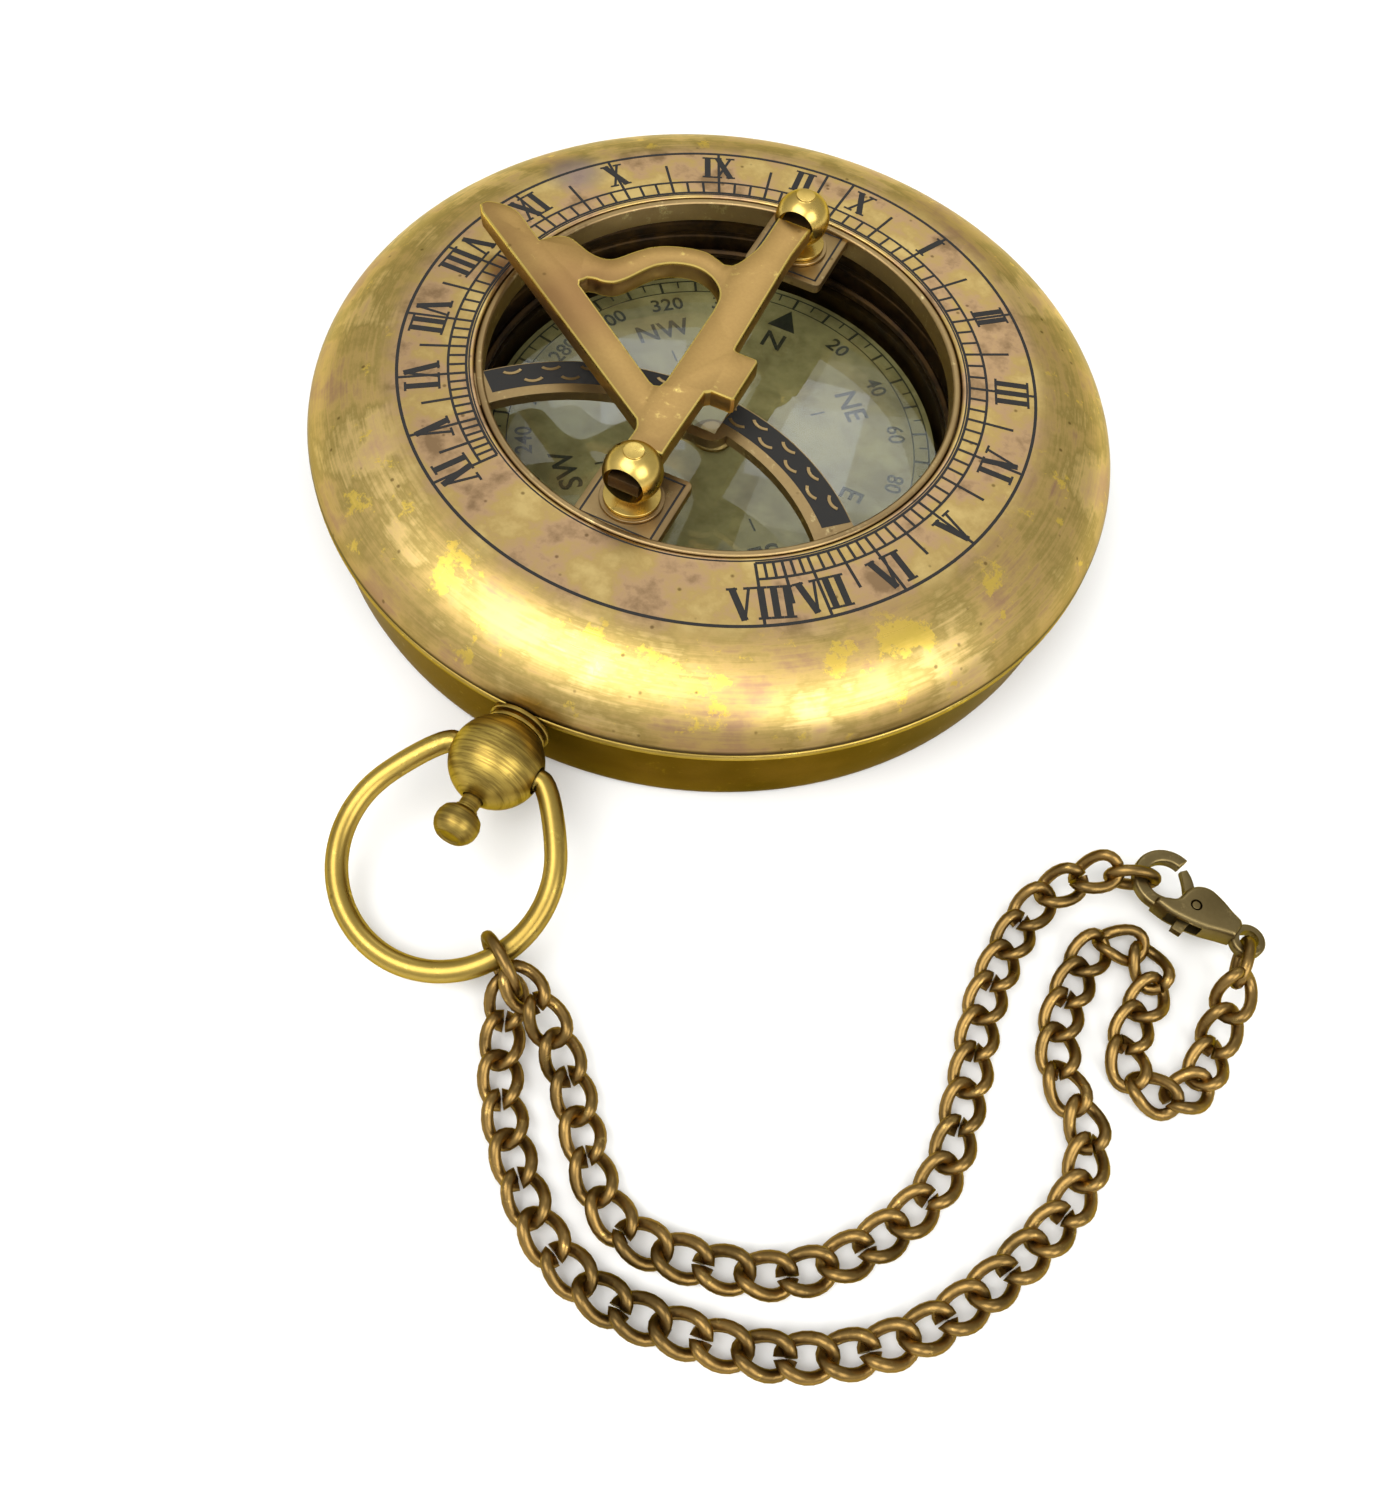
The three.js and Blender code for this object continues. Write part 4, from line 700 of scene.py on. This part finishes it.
# Engraving of the dial, filled with black wax. The hours stand at these azimuths on both sides of noon
HOURS = (25.3, 47.8, 68.8, 88.0, 106.7, 122.7, 136.5, 147.8)
MORNING = ("XI", "X", "IX", "VIII", "VII", "VI", "V", "IV")
EVENING = ("I", "II", "III", "IV", "V", "VI", "VII", "VIII")
TICK_IN, TICK_OUT, HALF_HOUR, FIGURE_LOW, FIGURE_HIGH = 23.04, 24.66, 27.35, 28.6, 25.4
LETTER_WIDTH = {"I": 1.08, "V": 2.35, "X": 2.25}
THICK, THIN, SERIF, FOOT, HEAD = 0.6, 0.26, 0.22, 0.03, 0.97


def letter(bm, kind, left, put):
    """One Roman letter of thick and thin strokes with serifs. put turns its own u and v into the dial's."""
    def line(u0, v0, u1, v1, width):
        (x0, y0), (x1, y1) = put(u0, v0), put(u1, v1)
        stroke(
            bm, (x0 + x1) / 2, (y0 + y1) / 2, math.hypot(x1 - x0, y1 - y0), width,
            math.degrees(math.atan2(x1 - x0, y1 - y0)),
        )

    def serifs(places, heights, reach):
        for u in places:
            for v in heights:
                line(u - reach, v, u + reach, v, SERIF)

    width = LETTER_WIDTH[kind]
    middle = left + width / 2
    if kind == "I":
        line(middle, 0, middle, 1, THICK)
        serifs([middle], (FOOT, HEAD), 0.53)
    if kind == "V":
        thick, thin, point = left + 0.48, left + width - 0.42, middle + 0.05
        line(thick, 1, point, 0, THICK)
        line(thin, 1, point, 0, THIN)
        serifs((thick, thin), [HEAD], 0.47)
    if kind == "X":
        west, east = left + 0.48, left + width - 0.45
        line(west, 1, east, 0, THICK)
        line(east, 1, left + 0.45, 0, THIN)
        serifs((west, east), (FOOT, HEAD), 0.44)


def numeral(bm, text, azimuth):
    """Roman letters with their tops towards the middle, as one reads them from outside."""
    turn = math.radians(azimuth)

    def put(u, v):
        r = FIGURE_LOW + (FIGURE_HIGH - FIGURE_LOW) * v
        return r * math.sin(turn) - u * math.cos(turn), r * math.cos(turn) + u * math.sin(turn)

    left = -sum(LETTER_WIDTH[kind] for kind in text) / 2
    for kind in text:
        letter(bm, kind, left, put)
        left += LETTER_WIDTH[kind]


engraving = bmesh.new()
LAST_HOUR = HOURS[-1]
HOUR_LINE, TICK_LINE = 0.27, 0.25
band(engraving, DIAL_R - 0.17, DIAL_R + 0.12, 0, 360, 180)
for ring in (TICK_IN, TICK_OUT):
    band(engraving, ring - 0.12, ring + 0.12, -LAST_HOUR, LAST_HOUR, 150)
band(engraving, 22.72, 22.86, 0, 360, 160)
for side, names in ((1, EVENING), (-1, MORNING)):
    # The first line of each side stands just beside noon, because the gnomon has a thickness
    places = [side * here for here in (2.8, *HOURS)]
    for a, b in zip(places, places[1:]):
        for cell in range(1, 6):
            end, width = (HALF_HOUR, HOUR_LINE) if cell == 3 else (TICK_OUT, TICK_LINE)
            radial(engraving, a + (b - a) * cell / 6, TICK_IN, end, width)
    for here in places:
        radial(engraving, here, TICK_IN, DIAL_R, HOUR_LINE)
    for text, here in zip(names, HOURS):
        numeral(engraving, text, side * here)
# The noon hours of the two halves stand past their lines
numeral(engraving, "X", 6.6)
numeral(engraving, "II", -6.9)
made(inlay(engraving, crown, 0.02, 0.05), "dial_engraving", "lid", "ink", sharp=20)

# Dial bridge: bright lip ring, two tabs, arc band with its boss and slot
POST_BORE, WAX_LIFT = 1.15, 0.012
lip_profile = [
    (LIP_R, 13.72), (24.3, 13.72), (24.3, 14.46), (22.25, 14.46), (22.25, 15.7), (22.1, 15.85),
    (21.72, 15.85), (LIP_R, 15.7),
]
made(lathed(lip_profile, 192, 0.08), "bridge_lip_ring", "lid", "bridge", "dial_bridge")
BAND_X, BAND_Y, BAND_OUT, BAND_IN = -0.3, -27.8, 24.5, 20.7
band_outline = arc(BAND_X, BAND_Y, BAND_OUT, 41.4, 139.8, 60) + arc(BAND_X, BAND_Y, BAND_IN, 142, 39.2, 60)
boss_outline = rounded_box(-3.4, 4.17, -8.9, -3.3, 1.7, 6)
slot = block(-1.3, 3.12, -7.85, -1.8, 13, 17)
made(
    cut(
        flat_plate(band_outline, BRIDGE_LOW, BRIDGE_TOP), slot,
        add=[flat_plate(boss_outline, BRIDGE_LOW, BRIDGE_TOP)],
    ),
    "bridge_arc_band", "lid", "bridge",
)
for side, name in ((-1, "near"), (1, "far")):
    low, high = sorted((side * 13.9, side * 21.7))
    tab = flat_plate(rounded_box(-4, 4, low, high, 0.6, 4), BRIDGE_LOW, BRIDGE_TOP, edge=0.13)
    bore = rod(POST_BORE, 13, 17, "Z", (0, side * POST_Y, 0))
    made(cut(tab, bore), "bridge_tab_" + name, "lid", "bridge")
    scribed = bmesh.new()
    near_end, far_end = (side * 14.5, side * 21.25)
    for x in (-3.35, 3.35):
        stroke(scribed, x, (near_end + far_end) / 2, abs(far_end - near_end), 0.2)
    stroke(scribed, 0, near_end, 6.9, 0.2, 90)
    stroke(scribed, 0, far_end, 6.9, 0.16, 90)
    made(inlay(scribed, lambda r: BRIDGE_TOP, WAX_LIFT, 0.05), "tab_scribing_" + name, "lid", "ink")

# Black ground on both sides of the boss
black = bmesh.new()
for start, end in ((-47.6, -3.7), (9.1, 47.4)):
    band(black, 21.75, 24.42, start, end, 40, (BAND_X, BAND_Y))
made(inlay(black, lambda r: BRIDGE_TOP, WAX_LIFT, 0.05), "band_black_ground", "lid", "ink")
# Curved dashes in two rows, with those of the outer row between those of the inner
dashes = bmesh.new()
for side in (-1, 1):
    for r, here in ((23.75, 7.6), (22.5, 11.9)):
        while here < 45:
            x, y = polar(r + 0.95, side * here)
            back = side * here + 180
            band(dashes, 1.05, 1.33, back - 42, back + 42, 7, (BAND_X + x, BAND_Y + y))
            here += 8.5
made(inlay(dashes, lambda r: BRIDGE_TOP + WAX_LIFT, 0.05, 0.03), "band_brass_dashes", "lid", "bridge")

# Ball posts with their washers, and their nuts under the tabs
post_profile = [
    (0, 13.5), (0.85, 13.5), (0.85, 15.9), (2.5, 15.9), (2.5, 16.2), (1.5, 16.34), (1.15, 16.5),
    *arc(0, BALL_Z, BALL_R, -63.5, 69.7, 24), (0.9, 21.6), (0, 21.6),
]
washer_profile = [(POST_BORE, 15.55), (2.85, 15.55), (2.85, 15.85), (POST_BORE, 15.85)]
nut_profile = [(POST_BORE, 13.5), (1.9, 13.5), (1.9, 14.4), (POST_BORE, 14.4)]
for side, name in ((-1, "near"), (1, "far")):
    at = (0, side * POST_Y, 0)
    bore = rod(1.85, side * POST_Y - 4, side * POST_Y + 4, "Y", (0, 0, BALL_Z), 48, 0)
    post = cut(lathed(post_profile, 96, 0.06, at=at), bore)
    made(post, "ball_post_" + name, "lid", "ball", "post_" + name)
    washer = lathed(washer_profile, 64, 0.09, at=at)
    made(washer, "dished_washer_" + name, "lid", "bridge", "washer_" + name)
    made(lathed(nut_profile, 6, 0.06, at=at), "hex_nut_" + name, "lid", "base", "nut_" + name, sharp=20)

# Gnomon: cast plate with filed faces and rubbed edges
REACH, G_T = 26.8, 1.8
outline_shares = [
    (-0.974, 0.139), (-1.0, 0.189), (-0.989, 0.225), (-0.959, 0.242), (-0.91, 0.252), (-0.869, 0.239),
    (-0.838, 0.214), (-0.787, 0.161), (-0.734, 0.108), (-0.705, 0.161), (-0.681, 0.188), (-0.646, 0.2),
    (-0.607, 0.181), (-0.558, 0.154), (-0.515, 0.147), (-0.481, 0.161), (-0.459, 0.194), (-0.429, 0.263),
    (-0.405, 0.311), (-0.381, 0.35), (-0.334, 0.399), (-0.269, 0.438), (-0.21, 0.453), (-0.166, 0.438),
    (-0.129, 0.418), (-0.104, 0.431), (-0.09, 0.467), (-0.078, 0.522), (-0.062, 0.639), (-0.062, 0.883),
    (0.062, 0.883), (0.056, 0.644), (0.071, -0.078), (0.073, -0.103), (0.086, -0.111), (0.153, -0.111),
    (0.162, -0.128), (0.162, -0.4), (0.153, -0.414), (0.082, -0.414), (0.067, -0.433), (0.062, -0.794),
    (0.062, -0.883), (-0.062, -0.883), (-0.062, -0.794), (-0.078, -0.744),
]
window_shares = [
    (-0.519, -0.056), (-0.504, -0.019), (-0.481, -0.008), (-0.455, -0.006), (-0.429, 0.006), (-0.41, 0.026),
    (-0.384, 0.081), (-0.357, 0.163), (-0.34, 0.208), (-0.322, 0.244), (-0.283, 0.29), (-0.231, 0.319),
    (-0.183, 0.32), (-0.136, 0.292), (-0.097, 0.241), (-0.076, 0.175), (-0.069, 0.082), (-0.068, -0.456),
    (-0.076, -0.497), (-0.093, -0.507), (-0.112, -0.494), (-0.511, -0.083),
]


def on_gnomon(shares):
    return smooth_line([(x * REACH, y * POST_Y) for x, y in shares])


plate = flat_plate(
    on_gnomon(outline_shares), BALL_Z - G_T / 2, BALL_Z + G_T / 2, [on_gnomon(window_shares)], edge=0.2,
    edge_finish=1,
)
tenons = [
    block(-1.45, 1.45, low, high, BALL_Z - 0.65, BALL_Z + 0.65, 0.12)
    for low, high in ((14.6, 19.9), (-19.9, -14.6))
]
made(plate, "gnomon_plate", "gnomon", "gnomon", "gnomon", second="edge")
# The tenons are painted near black as shade, so that the bores of the balls read dark
made(combined(*tenons), "gnomon_tenons", "gnomon", "dark")

# Pendant: neck with two rings, bored ball, push button and bail
PENDANT_R, STEM_BORE = 4, 0.95
collar_profile = [
    (STEM_BORE, -34.3), (1.35, -34.3), (1.35, -38.1), (2.75, -38.1), (2.75, -38.46), (2.2, -38.5),
    (2.05, -38.6), (2.2, -38.72), (2.65, -38.76), (2.65, -39.1), (1.35, -39.1), (1.35, -40.7),
    (STEM_BORE, -40.7),
]
collar = lathed(collar_profile, 64, 0.1, "Y", PENDANT_LINE)
made(collar, "pendant_collar", "base", "bail", "pendant_neck")
ball_profile = [(0, -PENDANT_R), *arc(0, 0, PENDANT_R, -84, 48, 22), (2.65, 3), (0, 3)]
made(
    cut(
        lathed(ball_profile, 96, 0.1, "Y", PENDANT),
        rod(STEM_BORE, -48, -38, "Y", PENDANT_LINE),
        rod(COLLAR_BORE, -41, -38, "Y", PENDANT_LINE),
        rod(1.25, 2.1, 5.5, "X", PENDANT),
        rod(1.25, -5.5, -2.1, "X", PENDANT),
    ),
    "bored_ball", "base", "pendant", "pendant_ball",
)
knob_profile = [
    (0, -31.2), (0.7, -31.2), (0.7, -45.2), (0.84, -45.3), (0.84, -47.06), (1.0, -47.1), (1.0, -47.3),
    (1.3, -47.42), (1.68, -47.75), (1.87, -48.25), (1.9, -48.65), (1.84, -49.1), (1.66, -49.5), (1.4, -49.8),
    (1.15, -50), (0.95, -50), (0.85, -49.86), (0, -49.86),
]
knob = lathed(knob_profile, 64, 0.05, "Y", PENDANT_LINE)
made(knob, "release_knob", "button", "pendant", "push_button")


def spline(points, parts):
    """A smooth line through points, spaced by the root of their distances."""
    line = [Vector(p) for p in points]
    line = [line[0] * 2 - line[1], *line, line[-1] * 2 - line[-2]]
    out = []
    for p0, p1, p2, p3 in zip(line, line[1:], line[2:], line[3:]):
        d0, d1, d2 = ((b - a).length ** 0.5 for a, b in ((p0, p1), (p1, p2), (p2, p3)))
        m1 = (p1 - p0) / d0 - (p2 - p0) / (d0 + d1) + (p2 - p1) / d1
        m2 = (p2 - p1) / d1 - (p3 - p1) / (d1 + d2) + (p3 - p2) / d2
        m1, m2 = m1 * d1, m2 * d1
        for step in range(parts):
            t = step / parts
            out.append(
                p1 * (2 * t**3 - 3 * t * t + 1) + m1 * (t**3 - 2 * t * t + t)
                + p2 * (3 * t * t - 2 * t**3) + m2 * (t**3 - t * t)
            )
    return out + [line[-2]]


def wire(points, radius):
    """Round wire along a line, with 24 sides."""
    curve = bpy.data.curves.new("wire", "CURVE")
    curve.dimensions = "3D"
    curve.bevel_depth = radius
    curve.bevel_resolution = 5
    curve.use_fill_caps = True
    line = curve.splines.new("POLY")
    line.points.add(len(points) - 1)
    for point, place in zip(line.points, points):
        point.co = (*place, 1)
    return surface_of(curve)


BAIL_R, BAIL_WIRE, DROOP = 9, 0.95, math.radians(17)


def on_bail(x, along):
    return Vector((x, -along * math.cos(DROOP), -along * math.sin(DROOP))) + Vector(PENDANT)


bail_half = [on_bail(x, 0) for x in (2.4, 3.2, 4.3167)]
bail_half += [on_bail(x, along) for x, along in arc(0, BAIL_R, BAIL_R, -30, 70, 5)]
bail_line = bail_half + [on_bail(0, 2 * BAIL_R)] + [Vector((-p.x, p.y, p.z)) for p in bail_half[::-1]]
made(wire(spline(bail_line, 8), BAIL_WIRE), "bail_ring", "bail", "bail", "bail", sharp=50)

# Chain: where it lies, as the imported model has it
FLOOR_LINK = 1.24


def on_floor(*places):
    return [(x, y, FLOOR_LINK) for x, y in places]


strand_a_route = [
    (9.6, -58.2, 1.95), (10.5, -60.4, 1.4),
    *on_floor(
        (11.8, -63.2), (14.2, -66.6), (17, -69.6), (20.8, -72.6), (26, -74.4), (33.3, -74),
        (40.6, -72.1), (47.4, -67.6), (52.6, -60.1), (55.8, -51.6), (54.9, -46.6), (51.8, -43.6),
        (50.4, -39.6), (50.4, -35.2), (51.1, -31.8), (54, -30.2), (56.4, -32.4), (55.9, -36.4),
        (56.4, -40.2), (59.4, -41.6), (61.9, -39.6), (62.3, -36.4),
    ),
    (62.3, -34.4, 2.1),
]
strand_b_route = [
    (10.65, -57.25, 4.2), (13.2, -58.4, 3.3), (15.6, -60.2, 2),
    *on_floor(
        (18, -62.6), (20.6, -65.6), (23, -68), (26, -69.6), (31.9, -69.2), (38.2, -67),
        (43, -62.1), (45.8, -55.9), (45.4, -48.4), (44.2, -40.6), (44.4, -34.4), (44.9, -31.2),
    ),
    (46.2, -28.6, 2.2),
]
LINK_L, LINK_W, LINK_WIRE, LINK_TWIST, PITCH, END_REACH = 4.9, 3.7, 1.0, 0.62, 3.1, 1.95
clasp_along = Vector((-0.986, 0.166, 0)).normalized()
clasp_across = Vector((0.166, 0.986, 0)).normalized()
clasp_tail = Vector((61.9, -26.6, 3.6))
UP = Vector((0, 0, 1))
clasp_frame = axes_at(clasp_tail, clasp_along, clasp_across, UP)
eye_down = Vector((0.06, -1, 0)).normalized()
hook_out = Vector((-0.94, -0.34, 0)).normalized()
eye_link = clasp_tail + eye_down * END_REACH
CLAW = (8, 0.9)
hook_link = clasp_frame @ Vector((*CLAW, 0)) + hook_out * (0.85 + END_REACH)


def evenly(route, last):
    """Places and directions on the smooth line through the route, evenly spaced about a pitch apart."""
    line = spline([*route, last], 12)
    gone = [0.0]
    for a, b in zip(line, line[1:]):
        gone.append(gone[-1] + (b - a).length)
    count = round(gone[-1] / PITCH)
    out = []
    i = 0
    for k in range(count + 1):
        want = gone[-1] * k / count
        while i < len(gone) - 2 and gone[i + 1] < want:
            i += 1
        share = (want - gone[i]) / max(gone[i + 1] - gone[i], 1e-9)
        centre = line[i].lerp(line[i + 1], share)
        along = (line[min(i + 2, len(line) - 1)] - line[max(i - 1, 0)]).normalized()
        centre.z = max(centre.z, FLOOR_LINK + abs(along.z) * END_REACH)
        out.append((centre, along, UP))
    return out


def link_shape(length, width, twist, radius):
    """One link of round wire, bent to a twisted oval and left with its butt joint open a hair."""
    bm = bmesh.new()
    start = math.radians(4)
    upright = Matrix.Translation((width / 2, 0, 0)) @ Matrix.Rotation(math.pi / 2, 4, "X")
    place = Matrix.Rotation(start, 4, "Z") @ upright
    bmesh.ops.create_circle(bm, cap_ends=True, segments=10, radius=radius, matrix=place)
    bmesh.ops.spin(
        bm, geom=bm.verts[:] + bm.edges[:] + bm.faces[:], cent=(0, 0, 0), axis=(0, 0, 1),
        angle=2 * math.pi - 2 * start, steps=22, use_merge=False,
    )
    bmesh.ops.recalc_face_normals(bm, faces=bm.faces)
    mean = width / 2
    for v in bm.verts:
        angle = math.atan2(v.co.y, v.co.x)
        out = math.hypot(v.co.x, v.co.y) - mean
        v.co = (
            (length / 2 - radius + out) * math.cos(angle),
            (width / 2 - radius + out) * math.sin(angle),
            v.co.z + twist * math.sin(2 * angle),
        )
    return as_mesh(bm, "link")


curb_link = link_shape(LINK_L, LINK_W, LINK_TWIST, LINK_WIRE / 2)
end_link = link_shape(LINK_L, LINK_W, 0, LINK_WIRE / 2)


def chain_run(links, first, last):
    """A bmesh of the links from first up to last. The one in the clasp is plain, not twisted."""
    bm = bmesh.new()
    for i in range(first, last):
        centre, along, upward = links[i]
        x = along.normalized()
        y = upward.cross(x).normalized()
        place = axes_at(centre, x, y, x.cross(y))
        plain_link = i == len(links) - 1
        # Each twisted link is rolled a little by chance
        if not plain_link:
            place = place @ Matrix.Rotation(math.radians(chance.uniform(-5, 5)), 4, "X")
        if i % 2:
            place = place @ Matrix.Rotation(math.pi, 4, "Z")
        before = set(bm.verts)
        bm.from_mesh(end_link if plain_link else curb_link)
        bmesh.ops.transform(bm, matrix=place, verts=[v for v in bm.verts if v not in before])
    return bm


links_a = evenly(strand_a_route, eye_link + eye_down * PITCH)
links_b = evenly(strand_b_route, hook_link + hook_out * PITCH)
links_a.append((eye_link, -eye_down, UP.cross(eye_down).normalized()))
links_b.append((hook_link, -hook_out, UP.cross(hook_out).normalized()))
# The links that move with the bail, and where its ring holds them, in metres
LEAD, CHAIN_EXIT = 9, (0.0081, -0.0562, 0.0034)
ring_out = Vector((0.833, -0.554, 0)).normalized()
jump = bmesh.new()
jump.from_mesh(link_shape(6.2, 6.2, 0, LINK_WIRE / 2))
moved(jump, axes_at(Vector(CHAIN_EXIT) / MM, ring_out, UP, ring_out.cross(UP)))
lead = combined(jump, chain_run(links_a, 0, LEAD), chain_run(links_b, 0, LEAD))
lead_piece = made(lead, "chain_lead_links", None, "chain", "chain_lead", sharp=60)
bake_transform(lead_piece)
long_a = made(
    chain_run(links_a, LEAD, len(links_a)), "chain_long_strand", "base", "chain",
    ("chain_strand_a", "chain_pile"), sharp=60,
)
long_b = made(
    chain_run(links_b, LEAD, len(links_b)), "chain_second_strand", "base", "chain", "chain_strand_b",
    sharp=60,
)

# Lobster clasp: cast body with a crowned face, claw, eye and sprung lever
CLASP_L, RIVET_BORE, RIVET = 11, 0.5, (5, -0.2, 0)
body_shares = [
    (0.1, 0.068), (0.2, 0.114), (0.309, 0.159), (0.418, 0.182), (0.509, 0.145), (0.564, 0.064),
    (0.591, -0.036), (0.664, -0.082), (0.718, -0.118), (0.718, -0.168), (0.6, -0.182), (0.473, -0.173),
    (0.327, -0.145), (0.2, -0.1), (0.1, -0.068),
]
lever_shares = [
    (0.414, -0.082), (0.441, -0.264), (0.523, -0.264), (0.523, -0.091), (0.536, 0.009), (0.6, 0.127),
    (0.668, 0.214), (0.632, 0.259), (0.564, 0.209), (0.473, 0.1), (0.405, 0.018),
]


def on_clasp(shares):
    return smooth_line([(u * CLASP_L, v * CLASP_L) for u, v in shares], sharp=70)


claw = arc(*CLAW, 2.8, -112, 105, 28) + arc(*CLAW, 1.65, 105, -112, 26)
clasp = cut(
    flat_plate(on_clasp(body_shares), -1.2, 1.2, edge=0.4, segments=4),
    rod(0.82, -3, 3, "Z", (0, 0, 0), 32, 0),
    block(3.63, 6.62, -2.8, 2.8, -0.7, 0.7),
    rod(RIVET_BORE, -3, 3, "Z", RIVET, 24, 0),
    add=[
        flat_plate(claw, -0.55, 0.55, edge=0.25, segments=3),
        rod(1.45, -0.55, 0.55, "Z", (0, 0, 0), 40, 0.3),
    ],
)
clasp_piece = made(moved(clasp, clasp_frame), "lobster_clasp", "base", "clasp", "clasp_body", sharp=40)
lever = cut(
    flat_plate(on_clasp(lever_shares), -0.4, 0.4, edge=0.15), rod(RIVET_BORE, -3, 3, "Z", RIVET, 24, 0)
)
lever_piece = made(moved(lever, clasp_frame), "clasp_thumb_lever", "clasp_lever", "clasp", "clasp_lever")
rivet_bar = rod(0.35, -1.2, 1.2, "Z", RIVET, 24, 0.08)
rivet = made(moved(rivet_bar, clasp_frame), "clasp_rivet", "base", "clasp", "clasp_pin")

for piece, links, extra in (
    (long_a, links_a, [lead_piece, clasp_piece, lever_piece, rivet]),
    (long_b, links_b, [clasp_piece]),
):
    centres = [centre * MM for centre, _, _ in links[LEAD:]]
    length = sum((b - a).length for a, b in zip(centres, centres[1:]))
    [tuple(centre) for centre in centres]
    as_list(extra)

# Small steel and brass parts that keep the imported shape
kept_shapes = {
    "steel": ("hinge_pin", "catch_pin", "pivot_pin", "magnet_east", "magnet_west", "catch_spring"),
    "base": ("catch_lever", "strike_plate"),
}
for finish, names in kept_shapes.items():
    for name in names:
        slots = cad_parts[name].data.materials
        slots.clear()
        slots.append(FINISH[finish])

# Floor, lamps and world: a pale floor under soft light


def set_stage():
    new, tree, shader, where = material("pale_studio_floor")
    tone = node(tree, "TexNoise", {"Vector": where, "Scale": 6.0, "Detail": 2})
    shade = node(tree, "ValToRGB", {0: tone}, stops=[(0.3, "#f4f4f1"), (0.7, "#f8f8f6")])
    plug(tree, shader, {"Base Color": shade, "Roughness": 0.8, "Specular IOR Level": 0.2})
    bm = bmesh.new()
    bmesh.ops.create_grid(bm, x_segments=1, y_segments=1, size=3)
    floor = placed("floor", as_mesh(bm, "floor"))
    floor.data.materials.append(new)
    floor.location.z = -0.02 * MM

    def lamp(name, place, towards, width, height, power, colour="#ffffff"):
        data = bpy.data.lights.new(name, "AREA")
        data.shape = "RECTANGLE"
        data.size, data.size_y = width, height
        data.energy = power
        data.color = linear(colour)[:3]
        new_lamp = placed(name, data)
        new_lamp.location = place
        new_lamp.rotation_mode = "QUATERNION"
        new_lamp.rotation_quaternion = (Vector(towards) - Vector(place)).to_track_quat("-Z", "Y")

    # A broad softbox over the near side and a weaker one behind, as the dome's highlights show
    lamp("near_softbox", (-0.16, -0.36, 0.7), (0, 0, 0), 0.68, 0.46, 4.0)
    lamp("far_softbox", (-0.2, 0.75, 0.75), (0, 0, 0), 0.6, 0.4, 0.6)
    lamp("right_softbox", (0.5, -0.22, 0.42), (0, 0, 0), 0.45, 0.4, 2.2)
    # Two panes that the glass mirrors towards the camera
    lamp("window_pane_right", (-0.14, 0.69, 0.748), (0.012, 0.006, 0.008), 0.12, 0.15, 0.1, "#dfe8ff")
    lamp("window_pane_left", (-0.335, 0.66, 0.748), (-0.01, 0.0, 0.008), 0.1, 0.16, 0.08, "#dfe8ff")

    world = bpy.data.worlds.new("soft_white_room")
    world.use_nodes = True
    tree = world.node_tree
    tree.nodes.clear()
    # Brightest overhead and in front, and plain white where the camera sees it
    direction = node(tree, "TexCoord").outputs["Generated"]
    bright = node(tree, "VectorMath", {0: direction, 1: (-0.15, -0.5, 0.85)}, operation="DOT_PRODUCT")
    sky = node(
        tree, "ValToRGB", {0: bright},
        stops=[(0.0, "#c4c4c0"), (0.3, "#c8c8c4"), (0.6, "#dedede"), (0.9, "#ffffff")],
    )
    light = node(tree, "Background", {"Color": sky})
    backdrop = node(tree, "Background", {"Color": "#ffffff"})
    seen = node(tree, "LightPath").outputs["Is Camera Ray"]
    room = node(tree, "MixShader", {0: seen, 1: light, 2: backdrop})
    node(tree, "OutputWorld", {"Surface": room})
    bpy.context.scene.world = world
    bpy.context.scene.view_settings.view_transform = "Standard"


set_stage()
